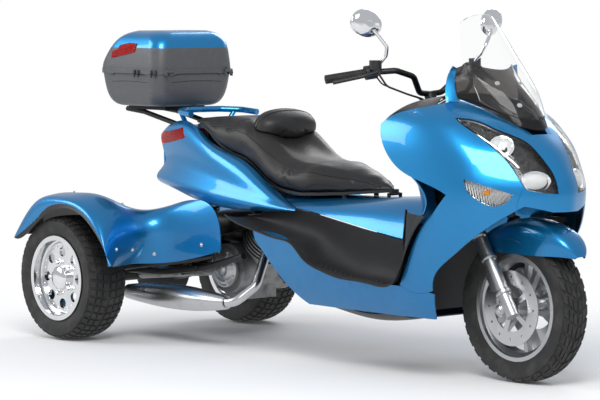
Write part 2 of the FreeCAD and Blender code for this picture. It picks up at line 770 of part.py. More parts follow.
for word, turn in (("right", lambda s: s), ("left", left_of)):
    feature("side_fairing_" + word, turn(side_fairing))
    feature("headlight_" + word, turn(headlight))
    feature("turn_signal_" + word, turn(signal))
    feature("lower_side_panel_" + word, turn(lower))


# Frame and drive
FRAME_SHARES = [
        (-0.1917, -0.0314, 0.6124), (-0.1709, -0.1357, 0.4341), (-0.2524, -0.2143, 0.2209),
        (-0.5437, -0.2143, 0.2209), (-0.6311, -0.2, 0.4186), (-0.7573, -0.1786, 0.4961),
        (-0.8883, -0.1357, 0.6124),
    ]
CROSS_SHARES = [
        (-0.2524, -0.2143, 0.2209), (-0.5437, -0.2143, 0.2209), (-0.6311, -0.2, 0.4186),
        (-0.7573, -0.1786, 0.4961),
    ]


def frame_loops():
    """Head tube, two looped side tubes and their cross tubes."""
    radius = size("frame_tube_radius")
    loop = tube([at(share) for share in FRAME_SHARES], radius, 5 * radius)
    head = tube([on_axis(HEAD_LOW), on_axis(HEAD_HIGH)], size("head_tube_radius"))
    pieces = [head, loop, left_of(loop)]
    for share in CROSS_SHARES:
        end = at(share)
        pieces.append(tube([end, Vector(end.x, -end.y, end.z)], radius * 0.8))
    bore = tube([on_axis(HEAD_LOW - size("cut_overrun")), on_axis(HEAD_HIGH + size("cut_overrun"))],
                size("steering_stem_radius") + size("running_clearance"))
    return fuse(pieces).cut(bore)


loops = frame_loops()


def rear_axle():
    """Axle housing with its final-drive case and the spindles of both wheels."""
    centre = wheel_centre(1)
    middle = Vector(centre.x, 0, centre.z)
    hub_face = size("rear_track") / 2 - size("running_clearance")
    housing = size("axle_housing_radius")
    bar = tube([middle - Vector(0, hub_face, 0), middle + Vector(0, hub_face, 0)], housing)
    reach = size("rear_track") / 2 + size("rear_rim_width") * REAR_DISC_SHARE
    spindle = tube([middle - Vector(0, reach, 0), middle + Vector(0, reach, 0)],
                   size("rear_spindle_radius"))
    case = tube([middle - Vector(0, 2 * housing, 0), middle + Vector(0, 2 * housing, 0)],
                3 * housing)
    nose = tube([middle, middle + Vector(5 * housing, 0, housing)], 1.6 * housing)
    return fuse([bar, spindle, case, nose])


axle_shape = rear_axle()
ENGINE_SHARES = [
        (-0.7282, 0, 0.2326), (-0.6893, 0, 0.2946),
    ]


def engine():
    """Crankcase, cylinder, drive case and the arms that carry the axle."""
    centre, head = [at(share) for share in ENGINE_SHARES]
    axle = Vector(wheel_centre(1).x, 0, wheel_centre(1).z)
    radius = 3 * size("axle_housing_radius")
    wide = 1.25 * radius
    crank = tube([centre - Vector(0, wide, 0), centre + Vector(0, wide * 1.3, 0)], radius)
    along = (head - centre).normalize()
    barrel = tube([centre, centre + along * (2.1 * radius)], 0.75 * radius)
    gap = 3 * size("axle_housing_radius")
    arms = []
    for side in (-1, 1):
        across = Vector(0, side * wide * 1.05, 0)
        arms.append(tube([centre + across, axle + across + Vector(gap / 3, 0, 0)],
                         size("axle_housing_radius") * 0.8))
    fins = []
    for step in range(6):
        spot = centre + along * (radius * (1.15 + 0.15 * step))
        fins.append(tube([spot, spot + along * (0.06 * radius)], 0.95 * radius))
    cover = tube([centre - Vector(0, wide * 1.12, 0), centre], 0.8 * radius)
    sump = Part.makeBox(1.3 * radius, 1.6 * radius, 0.5 * radius,
                        centre - Vector(0.65 * radius, 0.8 * radius, 1.25 * radius))
    solid = fuse([crank, barrel, cover, sump] + fins + arms)
    hole = tube([axle - Vector(0, 4 * wide, 0), axle + Vector(0, 4 * wide, 0)],
                size("axle_housing_radius"))
    case = tube([axle - Vector(0, gap, 0), axle + Vector(0, gap, 0)], gap)
    return solid.cut(hole).cut(case)


engine_shape = engine()
feature("engine", engine_shape)

MUFFLER_SHARES = [
        (-0.9597, -0.3357, 0.1395), (-0.8738, -0.3357, 0.1411), (-0.7573, -0.3357, 0.1411),
        (-0.6665, -0.3214, 0.1411),
    ]
MUFFLER_RADIUS_SHARES = (0.62, 0.98, 1.0, 0.55)
PIPE_SHARES = [
        (-0.6665, -0.3214, 0.1411), (-0.6456, -0.3071, 0.1473), (-0.6262, -0.2143, 0.1938),
        (-0.6456, -0.0857, 0.2946), (-0.6602, -0.0286, 0.3333),
    ]


def muffler():
    """Tapered silencer with its header pipe."""
    rings = []
    for share, swell in zip(MUFFLER_SHARES, MUFFLER_RADIUS_SHARES):
        circle = Part.makeCircle(size("muffler_radius") * swell, at(share), Vector(1, 0, 0))
        rings.append(Part.Wire([circle]))
    body = Part.makeLoft(rings, True, False)
    pipe = tube([at(share) for share in PIPE_SHARES], size("muffler_radius") * 0.4,
                size("muffler_radius"))
    return largest(fuse([body, pipe]).cut(engine_shape))


feature("muffler", muffler())

SHOCK_SHARES = [
        (-0.8252, -0.2371, 0.2163), (-0.7282, -0.2314, 0.4783),
    ]


def rear_shocks():
    """Pair of coil-over dampers from the axle to the tail of the frame."""
    low, high = [at(share) for share in SHOCK_SHARES]
    along = high - low
    thick = size("frame_tube_radius")
    stretch = along.Length
    outline = [(0.0, 0.0), (thick, 0.0), (thick, 0.18 * stretch)]
    for step in range(7):
        foot = (0.2 + 0.1 * step) * stretch
        head = foot + 0.045 * stretch
        neck = thick if step < 3 else thick * 0.55
        outline += [(neck, foot), (1.9 * thick, foot), (1.9 * thick, head), (neck, head)]
    outline += [(0.55 * thick, 0.95 * stretch), (0.55 * thick, stretch), (0.0, stretch)]
    damper = revolve_profile(outline)
    damper.Placement = Placement(low, Rotation(Vector(0, 1, 0), along))
    eye = [tube([end - Vector(0, thick, 0), end + Vector(0, thick, 0)], thick)
           for end in (low, high)]
    return both_sides(largest(fuse([damper] + eye).cut(loops).cut(engine_shape)))


feature("rear_shocks", rear_shocks())


# Floor and tunnel
FLOOR_GRID_SHARES = [
    [
        (-0.6126, -0.4714, 0.4124), (-0.5592, -0.4929, 0.3876), (-0.5049, -0.4929, 0.3705),
        (-0.4563, -0.4929, 0.3574), (-0.4175, -0.4929, 0.3465), (-0.3883, -0.4929, 0.3101),
        (-0.3398, -0.4929, 0.2806), (-0.2864, -0.4929, 0.2643), (-0.2136, -0.4929, 0.2589),
        (-0.1505, -0.4929, 0.2674), (-0.1301, -0.4929, 0.3132), (-0.1102, -0.4929, 0.3775),
        (-0.0684, -0.4929, 0.4589),
    ],
    [
        (-0.6126, -0.3743, 0.4), (-0.5592, -0.3743, 0.3798), (-0.5049, -0.3743, 0.3643),
        (-0.4563, -0.3743, 0.3527), (-0.4175, -0.3743, 0.3411), (-0.3883, -0.3743, 0.3062),
        (-0.3398, -0.3743, 0.2775), (-0.2864, -0.3743, 0.262), (-0.2184, -0.3743, 0.2566),
        (-0.1709, -0.3771, 0.2674), (-0.1602, -0.38, 0.3132), (-0.1544, -0.3829, 0.3775),
        (-0.1456, -0.3857, 0.4589),
    ],
    [
        (-0.6126, -0.3171, 0.4), (-0.5592, -0.3114, 0.3845), (-0.5049, -0.31, 0.3721),
        (-0.4563, -0.3086, 0.3605), (-0.4175, -0.3086, 0.3473), (-0.3883, -0.3086, 0.3178),
        (-0.3398, -0.3086, 0.2868), (-0.2864, -0.3086, 0.2682), (-0.2282, -0.3086, 0.2636),
        (-0.1874, -0.3143, 0.2713), (-0.1806, -0.3171, 0.3132), (-0.1777, -0.32, 0.3775),
        (-0.1728, -0.3229, 0.4589),
    ],
    [
        (-0.6126, -0.3029, 0.4093), (-0.5592, -0.2986, 0.4194), (-0.5049, -0.2986, 0.4341),
        (-0.4563, -0.2986, 0.4341), (-0.4175, -0.2986, 0.4271), (-0.3883, -0.2986, 0.4202),
        (-0.3398, -0.2986, 0.4085), (-0.2864, -0.2986, 0.3961), (-0.233, -0.3, 0.3845),
        (-0.1961, -0.3043, 0.3783), (-0.1913, -0.3086, 0.3922), (-0.1883, -0.31, 0.4217),
        (-0.1835, -0.3129, 0.4636),
    ],
]


def floorboard():
    """Foot well: a dished floor with a wall up to the tunnel."""
    rows = [[at(share) for share in line] for line in FLOOR_GRID_SHARES]
    board = panel(rows, size("panel_wall"))
    return largest(board.cut(HULL))


right_floor = floorboard()

TUNNEL_X_SHARES = [-0.5728, -0.4854, -0.3883, -0.2913, -0.2184, -0.1650]
TUNNEL_ROW_SHARES = [
    (-0.2957, [0.4186, 0.4395, 0.4225, 0.3992, 0.3837, 0.3760]),
    (-0.2429, [0.4419, 0.4535, 0.4535, 0.4496, 0.4419, 0.4380]),
    (-0.1571, [0.4605, 0.4651, 0.4682, 0.4744, 0.4791, 0.4767]),
    (0, [0.4651, 0.4698, 0.4729, 0.4806, 0.4868, 0.4845]),
    (0.1571, [0.4605, 0.4651, 0.4682, 0.4744, 0.4791, 0.4767]),
    (0.2429, [0.4419, 0.4535, 0.4535, 0.4496, 0.4419, 0.4380]),
    (0.2957, [0.4186, 0.4395, 0.4225, 0.3992, 0.3837, 0.3760]),
]


def centre_tunnel():
    """Raised cover between the foot wells, under the seat's nose."""
    rows = []
    for across, heights in TUNNEL_ROW_SHARES:
        rows.append([at((x, across, z)) for x, z in zip(TUNNEL_X_SHARES, heights)])
    return panel(rows, -size("panel_wall"))



BELLY_X_SHARES = [-0.5049, -0.4515, -0.3544, -0.2330, -0.1748]
BELLY_ROW_SHARES = [
    (-0.3950, [0.2946, 0.2333, 0.1922, 0.1690, 0.1860]),
    (-0.3286, [0.2636, 0.2031, 0.1667, 0.1512, 0.1667]),
    (-0.1714, [0.2558, 0.1938, 0.1589, 0.1457, 0.1589]),
    (0, [0.2558, 0.1938, 0.1589, 0.1457, 0.1589]),
    (0.1714, [0.2558, 0.1938, 0.1589, 0.1457, 0.1589]),
    (0.3286, [0.2636, 0.2031, 0.1667, 0.1512, 0.1667]),
    (0.3950, [0.2946, 0.2333, 0.1922, 0.1690, 0.1860]),
]


def belly_pan():
    """Tray under the floor."""
    rows = []
    for across, heights in BELLY_ROW_SHARES:
        rows.append([at((x, across, z)) for x, z in zip(BELLY_X_SHARES, heights)])
    return largest(panel(rows, size("panel_wall")).cut([HULL, loops]))


belly = belly_pan()
feature("belly_pan", belly)


# Leg shield, dash, screen
SHIELD_GRID_SHARES = [
    [
        (-0.1272, -0.4786, 0.3721), (-0.1456, -0.3286, 0.3721), (-0.1563, -0.1714, 0.376),
        (-0.1602, 0, 0.3798),
    ],
    [
        (-0.0951, -0.4857, 0.4341), (-0.1359, -0.3357, 0.4341), (-0.1578, -0.1786, 0.4341),
        (-0.1699, 0, 0.4341),
    ],
    [
        (-0.0607, -0.4929, 0.4961), (-0.1335, -0.3429, 0.4961), (-0.1699, -0.1857, 0.4961),
        (-0.1869, 0, 0.4961),
    ],
    [
        (-0.0995, -0.4971, 0.5581), (-0.1456, -0.3571, 0.5581), (-0.1869, -0.2, 0.5581),
        (-0.2087, 0, 0.5581),
    ],
    [
        (-0.1699, -0.4929, 0.6202), (-0.1796, -0.3643, 0.6202), (-0.2087, -0.2143, 0.6202),
        (-0.232, 0, 0.6202),
    ],
    [
        (-0.1883, -0.4786, 0.6822), (-0.1966, -0.3571, 0.6822), (-0.2257, -0.2143, 0.686),
        (-0.25, 0, 0.6899),
    ],
    [
        (-0.1903, -0.4543, 0.707), (-0.2, -0.3429, 0.7171), (-0.2282, -0.2071, 0.7209),
        (-0.2534, 0, 0.7248),
    ],
]


def across_grid(table):
    """Rows given from the right edge to the middle, mirrored to the left."""
    rows = []
    for line in table:
        right = [at(share) for share in line]
        rows.append(right + [Vector(p.x, -p.y, p.z) for p in right[-2::-1]])
    return rows


leg_shield = largest(panel(across_grid(SHIELD_GRID_SHARES), size("panel_wall"))
                     .cut([HULL, loops]))
feature("leg_shield", leg_shield)

DASH_GRID_SHARES = [
    [
        (-0.1893, -0.4543, 0.7016), (-0.1985, -0.3429, 0.7109), (-0.2267, -0.2071, 0.7155),
        (-0.2519, 0, 0.7194),
    ],
    [
        (-0.1699, -0.4357, 0.7256), (-0.1869, -0.3286, 0.7403), (-0.2087, -0.2, 0.7457),
        (-0.2233, 0, 0.7504),
    ],
    [
        (-0.1408, -0.4071, 0.7333), (-0.1602, -0.2857, 0.7558), (-0.1796, -0.1714, 0.7636),
        (-0.1869, 0, 0.7674),
    ],
    [
        (-0.1044, -0.3171, 0.7504), (-0.1262, -0.2286, 0.7674), (-0.1408, -0.1429, 0.7752),
        (-0.1481, 0, 0.7791),
    ],
]
DASH_HOLE_SHARE = 0.060


def dash():
    """Deck round the steering head with a hole for the riser."""
    deck = panel(across_grid(DASH_GRID_SHARES), -size("panel_wall"))
    hole = tube([on_axis(HEAD_HIGH - size("cut_overrun")),
                 on_axis(HEAD_HIGH + 5 * size("cut_overrun"))],
                DASH_HOLE_SHARE * size("body_width") + size("head_tube_radius"))
    return largest(deck.cut(hole).cut([HULL, leg_shield]))


feature("dash", dash())

WELL_GRID_SHARES = [
    [
        (-0.0777, -0.4929, 0.1783), (-0.1141, -0.4286, 0.1783), (-0.1626, -0.3743, 0.1783),
        (-0.1757, -0.2143, 0.1783), (-0.1786, 0, 0.1783),
    ],
    [
        (-0.0757, -0.4929, 0.2558), (-0.1141, -0.4457, 0.2558), (-0.165, -0.3886, 0.2558),
        (-0.1777, -0.2143, 0.2558), (-0.1806, 0, 0.2558),
    ],
    [
        (-0.0417, -0.4929, 0.3488), (-0.0971, -0.4457, 0.3488), (-0.1602, -0.3886, 0.3488),
        (-0.1757, -0.2143, 0.3488), (-0.1786, 0, 0.3488),
    ],
    [
        (0.0117, -0.4929, 0.4341), (-0.0631, -0.4286, 0.4341), (-0.1432, -0.3743, 0.4341),
        (-0.1699, -0.2143, 0.4341), (-0.1738, 0, 0.4341),
    ],
]
wheel_well = largest(panel(across_grid(WELL_GRID_SHARES), size("panel_wall"))
                     .cut([HULL, loops, leg_shield, right_floor, left_of(right_floor)]))
feature("wheel_well", wheel_well)

GARNISH_GRID_SHARES = [
    [
        (-0.0874, -0.2171, 0.7705), (-0.0476, -0.16, 0.7473), (0.0146, -0.1043, 0.7039),
        (0.035, 0, 0.6884),
    ],
    [
        (-0.0913, -0.2229, 0.7984), (-0.0583, -0.1829, 0.7752), (-0.0049, -0.1071, 0.7488),
        (0.0194, 0, 0.738),
    ],
    [
        (-0.0961, -0.2114, 0.8279), (-0.0728, -0.1686, 0.8202), (-0.0413, -0.1, 0.807),
        (-0.0218, 0, 0.7992),
    ],
    [
        (-0.1, -0.1886, 0.8527), (-0.0864, -0.1543, 0.8605), (-0.068, -0.0857, 0.8527),
        (-0.0583, 0, 0.8465),
    ],
]
SCREEN_GRID_SHARES = [
    [
        (-0.0442, -0.1829, 0.7659), (0.0078, -0.1114, 0.7287), (0.0291, 0, 0.7163),
    ],
    [
        (-0.0583, -0.1971, 0.8155), (-0.0146, -0.1143, 0.7953), (0.0068, 0, 0.7845),
    ],
    [
        (-0.0825, -0.1914, 0.8713), (-0.051, -0.1114, 0.8605), (-0.035, 0, 0.8543),
    ],
    [
        (-0.101, -0.1643, 0.9271), (-0.0825, -0.0929, 0.9302), (-0.0728, 0, 0.9318),
    ],
    [
        (-0.1165, -0.1214, 0.9736), (-0.1078, -0.0657, 0.9938), (-0.1039, 0, 0.9977),
    ],
]
garnish = largest(panel(across_grid(GARNISH_GRID_SHARES), size("panel_wall")).cut(HULL))
feature("screen_garnish", garnish)

EAR_GRID_SHARES = [
    [
        (-0.0971, -0.2743, 0.7636), (-0.0903, -0.2457, 0.7651), (-0.0854, -0.2143, 0.7674),
    ],
    [
        (-0.1019, -0.2629, 0.8047), (-0.0956, -0.2414, 0.8031), (-0.0908, -0.22, 0.8),
    ],
    [
        (-0.101, -0.2486, 0.8341), (-0.0981, -0.2314, 0.8326), (-0.0956, -0.2086, 0.8295),
    ],
    [
        (-0.0951, -0.2257, 0.8589), (-0.0981, -0.2114, 0.8574), (-0.0995, -0.1871, 0.8527),
    ],
]
ear = panel([[at(share) for share in line] for line in EAR_GRID_SHARES], -size("panel_wall"))
ear = largest(ear.cut([HULL, garnish]))
feature("screen_surrounds", both_sides(ear))
windshield = largest(panel(across_grid(SCREEN_GRID_SHARES), size("glass_wall")).cut(garnish))
feature("windshield", windshield)


# Tail
TAIL_GRID_SHARES = [
    [
        (-0.9328, -0.1314, 0.6286), (-0.8259, -0.1929, 0.6616), (-0.7406, -0.2314, 0.6027),
        (-0.6436, -0.2486, 0.5583), (-0.5777, -0.2486, 0.4991), (-0.5024, -0.2429, 0.4394),
    ],
    [
        (-0.923, -0.16, 0.5754), (-0.8281, -0.2429, 0.5914), (-0.7245, -0.2971, 0.5535),
        (-0.6211, -0.3171, 0.5084), (-0.5501, -0.3171, 0.4695), (-0.4827, -0.2929, 0.4392),
    ],
    [
        (-0.9182, -0.1714, 0.5287), (-0.8198, -0.2571, 0.5284), (-0.7182, -0.3071, 0.5028),
        (-0.6159, -0.3271, 0.4742), (-0.5433, -0.3286, 0.4536), (-0.4764, -0.3086, 0.438),
    ],
    [
        (-0.925, -0.2, 0.5028), (-0.8217, -0.2857, 0.4941), (-0.7148, -0.3314, 0.4716),
        (-0.6139, -0.3429, 0.4522), (-0.5387, -0.34, 0.4421), (-0.4719, -0.32, 0.4365),
    ],
    [
        (-0.8971, -0.1929, 0.4718), (-0.8077, -0.2643, 0.4506), (-0.7248, -0.2971, 0.431),
        (-0.6335, -0.3143, 0.4238), (-0.5467, -0.3257, 0.4276), (-0.4675, -0.3286, 0.4338),
    ],
]


def tail_panel():
    """Side cover of the tail, pointed at its front."""
    return panel([[at(share) for share in line] for line in TAIL_GRID_SHARES],
                 -size("panel_wall"))


LAMP_OUTLINE_SHARES = [
        (-0.9709, 0.6372), (-0.9175, 0.6333), (-0.8345, 0.6512), (-0.8204, 0.6202),
        (-0.9155, 0.5969), (-0.9709, 0.5907),
    ]
tail_whole = tail_panel()
lamp_hole = side_prism(LAMP_OUTLINE_SHARES, corners=(0, 2, 3, 5), grow=size("panel_seam"))
lamp_prism = side_prism(LAMP_OUTLINE_SHARES, corners=(0, 2, 3, 5))
tail_side = largest(tail_whole.cut(lamp_hole))
feature("tail_panel_right", tail_side)
feature("tail_panel_left", left_of(tail_side))
feature("tail_lights", both_sides(largest(tail_whole.common(lamp_prism))))
both_tails = [tail_whole, left_of(tail_whole)]

RACK_SHARES = [
        (-0.8845, -0.1371, 0.6093), (-0.8922, -0.12, 0.6527), (-1.0049, -0.1171, 0.6884),
        (-1.0583, -0.1171, 0.6961),
    ]


def rack_rails():
    """Bent rails that rise from the frame's tail through the deck."""
    rail = tube([at(share) for share in RACK_SHARES], size("frame_tube_radius") * 0.6,
                2 * size("frame_tube_radius"))
    return both_sides(rail.cut(loops))


rails = rack_rails()
DECK_GRID_SHARES = [
    [
        (-0.8262, -0.19, 0.6419), (-0.8262, -0.1, 0.6426), (-0.8262, 0, 0.6426),
    ],
    [
        (-0.8568, -0.1786, 0.6481), (-0.8568, -0.0929, 0.6496), (-0.8568, 0, 0.6496),
    ],
    [
        (-0.8942, -0.1571, 0.6426), (-0.8942, -0.0829, 0.6481), (-0.8942, 0, 0.6496),
    ],
    [
        (-0.9325, -0.13, 0.6295), (-0.9393, -0.0714, 0.6326), (-0.9417, 0, 0.6333),
    ],
    [
        (-0.9228, -0.1586, 0.5752), (-0.9369, -0.0857, 0.5767), (-0.9408, 0, 0.5775),
    ],
    [
        (-0.9146, -0.1743, 0.5295), (-0.9311, -0.0929, 0.5302), (-0.9359, 0, 0.5302),
    ],
    [
        (-0.8981, -0.19, 0.4822), (-0.915, -0.0929, 0.4806), (-0.9204, 0, 0.4806),
    ],
]
deck = largest(panel(across_grid(DECK_GRID_SHARES), size("panel_wall")).cut(both_tails + [rails]))
feature("tail_deck", deck)

GRAB_SHARES = [
        (-0.8068, -0.24, 0.6922), (-0.8471, -0.2229, 0.6977), (-0.8748, -0.1257, 0.7),
        (-0.8796, 0, 0.7),
    ]
GRAB_FOOT_SHARES = [
        (-0.8568, -0.1971, 0.6977), (-0.8602, -0.1371, 0.6465),
    ]


def grab_rail():
    """Rail round the back of the seat for the passenger, on two feet."""
    right = [at(share) for share in GRAB_SHARES]
    line = right + [Vector(p.x, -p.y, p.z) for p in right[-2::-1]]
    thick = size("grip_radius") * 0.75
    bar = tube(line, thick, 3 * thick)
    foot = tube([at(share) for share in GRAB_FOOT_SHARES], 0.8 * thick)
    return largest(bar.fuse([foot, left_of(foot)]).cut(both_tails + [deck]))


feature("grab_rail", grab_rail())
tunnel = largest(centre_tunnel().cut([right_floor, left_of(right_floor), leg_shield, loops,
                                     wheel_well] + both_tails))
feature("centre_tunnel", tunnel)
floor_side = largest(right_floor.cut([leg_shield, tail_whole, tunnel]))
feature("floorboard_right", floor_side)
feature("floorboard_left", left_of(floor_side))


# Seat
SEAT_STATION_SHARES = [
    (-0.8325, 0.136, 0.6713, 0.6729, 0.6589), (-0.8204, 0.180, 0.6744, 0.6767, 0.6620),
    (-0.8058, 0.211, 0.6775, 0.6798, 0.6636), (-0.7913, 0.229, 0.6798, 0.6822, 0.6628),
    (-0.7743, 0.240, 0.6822, 0.6837, 0.6558), (-0.7549, 0.244, 0.6841, 0.6857, 0.6364),
    (-0.7345, 0.246, 0.6853, 0.6868, 0.6132), (-0.7160, 0.247, 0.6857, 0.6864, 0.5992),
    (-0.6990, 0.247, 0.6853, 0.6853, 0.5891), (-0.6699, 0.249, 0.6822, 0.6760, 0.5775),
    (-0.6447, 0.249, 0.6729, 0.6574, 0.5651), (-0.6282, 0.249, 0.6589, 0.6426, 0.5512),
    (-0.6117, 0.249, 0.6450, 0.6279, 0.5349), (-0.5951, 0.249, 0.6271, 0.6132, 0.5186),
    (-0.5786, 0.249, 0.6093, 0.5984, 0.5047), (-0.5612, 0.249, 0.5907, 0.5868, 0.4938),
    (-0.5437, 0.249, 0.5760, 0.5767, 0.4868), (-0.5267, 0.247, 0.5667, 0.5713, 0.4837),
    (-0.5097, 0.246, 0.5612, 0.5674, 0.4814), (-0.4782, 0.240, 0.5597, 0.5659, 0.4822),
    (-0.4612, 0.223, 0.5558, 0.5651, 0.4829), (-0.4442, 0.200, 0.5496, 0.5636, 0.4845),
    (-0.4272, 0.177, 0.5442, 0.5597, 0.4860), (-0.4097, 0.154, 0.5388, 0.5550, 0.4876),
    (-0.3932, 0.133, 0.5326, 0.5473, 0.4899), (-0.3762, 0.111, 0.5256, 0.5380, 0.4922),
    (-0.3607, 0.090, 0.5171, 0.5279, 0.4946), (-0.3456, 0.069, 0.5078, 0.5178, 0.4969),
    (-0.3350, 0.049, 0.5039, 0.5109, 0.4984), (-0.3243, 0.029, 0.5016, 0.5054, 0.4996),
]


def seat_loft(ring_points, every_corner):
    """Loft through a closed ring of points at each seat station, mirrored to the left."""
    wires = []
    for station in SEAT_STATION_SHARES:
        right = [at((station[0], -across, rise)) for across, rise in ring_points(*station[1:])]
        left = [Vector(p.x, -p.y, p.z) for p in right[::-1] if p.y < 0]
        points = right + left
        last = len(points) - 1
        wires.append(smooth_wire(points, tuple(range(last + 1)) if every_corner else (0, last)))
    return Part.makeLoft(wires, True, False)


def cushion_ring(half, edge, middle, foot):
    """Right half of a cushion section, from the foot up to the middle."""
    body = edge - foot
    return [(half * 0.965, foot), (half, foot + 0.16 * body), (half * 0.985, foot + 0.5 * body),
            (half * 0.91, foot + 0.82 * body), (half * 0.72, edge),
            (half * 0.40, edge + 0.62 * (middle - edge)), (0, middle)]


cushion = seat_loft(cushion_ring, False)
feature("seat_cushion", cushion)

GAP_SHARE = size("running_clearance") / size("body_height")
PAN_SHARE = 0.0085


def pan_ring(half, edge, middle, foot):
    """Right half of the base pan's flat section."""
    low = foot - GAP_SHARE - PAN_SHARE
    top = foot + 3 * GAP_SHARE
    return [(0.88 * half, low), (0.88 * half, top), (0, top)]


HINGE_SHARE = [
        (-0.3262, 0, 0.486),
    ]
pan = seat_loft(pan_ring, True)
pivot = at(HINGE_SHARE[0])
knuckle_half = 4 * size("hinge_radius")


def across_tube(centre, radius, half):
    return tube([centre - Vector(0, half, 0), centre + Vector(0, half, 0)], radius)


def seat_pan():
    """Base pan of the seat with its hinge knuckle and rubber stops."""
    knuckle = across_tube(pivot, size("hinge_radius"), knuckle_half)
    stops = []
    for share in STOP_SHARES:
        foot = at(share)
        stops.append(tube([foot, foot + Vector(0, 0, size("cut_overrun"))],
                          1.6 * size("hinge_radius")))
    under = pan.fuse(stops + [left_of(stop) for stop in stops] + [knuckle])
    lowered = cushion.copy()
    lowered.translate(Vector(0, 0, -size("running_clearance")))
    under = under.cut([lowered, tunnel_lifted])
    bore = across_tube(pivot, size("hinge_radius") / 2 + size("running_clearance"),
                       2 * knuckle_half)
    return largest(under.cut(bore))


STOP_SHARES = [
        (-0.4175, -0.1143, 0.4698), (-0.5049, -0.1286, 0.4667),
    ]
tunnel_lifted = tunnel.copy()
tunnel_lifted.translate(Vector(0, 0, size("running_clearance")))
pan_shape = seat_pan()
feature("seat_pan", pan_shape)


def seat_hinge():
    """Pin of the seat's hinge between two lugs on the tunnel."""
    pin = across_tube(pivot, size("hinge_radius") / 2, 1.4 * knuckle_half)
    lugs = []
    for side in (-1, 1):
        middle = pivot + Vector(0, side * 1.2 * knuckle_half, 0)
        lugs.append(Part.makeBox(2 * size("hinge_radius"), 0.3 * knuckle_half,
                                 3 * size("hinge_radius"),
                                 middle - Vector(size("hinge_radius"), 0.15 * knuckle_half,
                                                 2.4 * size("hinge_radius"))))
    return largest(fuse([pin] + lugs).cut(tunnel))


feature("seat_hinge", seat_hinge())

BACKREST_SHARES = [
        (-0.6291, 0, 0.6581),
    ]
BACKREST_AXES_SHARES = (0.095, 0.212, 0.108)
PAD_DOME_SHARES = [(-1.0, 0.30), (-0.9, 0.62), (-0.6, 0.90), (-0.2, 1.0), (0.2, 1.0), (0.6, 0.90),
                   (0.9, 0.62), (1.0, 0.30)]


def backrest_pad():
    """Rounded lumbar pad across the seat."""
    deep, wide, tall = [share * size("body_width") for share in BACKREST_AXES_SHARES]
    pad = dome(PAD_DOME_SHARES, deep, wide, tall, 0.85)
    pad.rotate(Vector(0, 0, 0), Vector(0, 1, 0), 25)
    pad.translate(at(BACKREST_SHARES[0]))
    raised = cushion.copy()
    raised.translate(Vector(0, 0, size("running_clearance")))
    return largest(pad.cut([cushion, raised]))


feature("backrest_pad", backrest_pad())


# Top box and rack
BOX_PLACE_SHARES = [
        (-0.9854, 0, 0.7093),
    ]


def box_wire(height, half_width, front, rear, corner):
    """Rounded rectangle around the box's centre line."""
    middle = at(BOX_PLACE_SHARES[0])
    corner = min(corner, 0.9 * front, 0.9 * rear, 0.9 * half_width)
    corners = ((front, half_width), (-rear, half_width), (-rear, -half_width),
               (front, -half_width))
    arcs = []
    for turn, (cx, cy) in enumerate(corners):
        spot = middle + Vector(cx - math.copysign(corner, cx), cy - math.copysign(corner, cy), 0)
        spot.z = height
        arcs.append([spot + Vector(math.cos(angle), math.sin(angle), 0) * corner
                     for angle in [math.pi * (turn + part) / 2 for part in (0, 0.5, 1)]])
    wire = []
    for i, (a, b, c) in enumerate(arcs):
        wire.append(Part.Arc(a, b, c).toShape())
        wire.append(Part.LineSegment(c, arcs[(i + 1) % 4][0]).toShape())
    return Part.Wire(wire)


BOX_BASE_SHARES = [(0.0, 0.36, 0.34, 0.34), (0.12, 0.43, 0.42, 0.42),
                   (0.5, 0.475, 0.475, 0.475), (1.0, 0.5, 0.5, 0.5)]
BOX_LID_SHARES = [(0.0, 0.5, 0.5, 0.5), (0.3, 0.495, 0.495, 0.47), (0.6, 0.48, 0.48, 0.38),
                  (0.85, 0.44, 0.44, 0.27), (0.96, 0.38, 0.38, 0.18), (1.0, 0.32, 0.30, 0.10)]
BAND_HEIGHT_SHARE = 0.07


def box_loft(low, height, table, inset):
    """Loft of rounded rectangles, drawn in by an inset."""
    wires = []
    for rise, wide, front, rear in table:
        wires.append(box_wire(low + rise * height, wide * size("box_width") - inset,
                              front * size("box_length") - inset,
                              rear * size("box_length") - inset, size("box_corner") - inset))
    return Part.makeLoft(wires, True, False)


def box_band(low):
    """Thicker rim where the lid meets the base."""
    rows = [(0.0,) + BOX_LID_SHARES[0][1:], (1.0,) + BOX_LID_SHARES[0][1:]]
    return box_loft(low, BAND_HEIGHT_SHARE * size("box_base_height"), rows, -size("box_band"))


seam_height = size("box_floor_height") + size("box_base_height")
KNUCKLE_LONG_SHARE = 0.03
HINGE_ACROSS_SHARE = 0.375


def box_hinge(rows, upward, bore):
    """Knuckles and leaves of both lid hinges, in rows along the pin."""
    radius = size("hinge_radius")
    long = KNUCKLE_LONG_SHARE * size("box_width")
    x = at(BOX_PLACE_SHARES[0]).x + size("box_length") / 2 + size("box_band") + radius * 1.2
    pieces = []
    for row in rows:
        middle = Vector(x, -HINGE_ACROSS_SHARE * size("box_width") + row * long, seam_height)
        half = long / 2 - size("running_clearance")
        pieces.append(across_tube(middle, radius, half))
        leaf_low = middle.z + (size("running_clearance") if upward else -2.4 * radius)
        leaf = Part.makeBox(2.4 * radius, 2 * half, 2.4 * radius - size("running_clearance"),
                            Vector(x - 2.4 * radius, middle.y - half, leaf_low))
        pieces.append(leaf)
    middle = Vector(x, -HINGE_ACROSS_SHARE * size("box_width"), seam_height)
    pin = across_tube(middle, radius / 2 + bore, 1.5 * long + bore)
    return fuse(pieces), pin


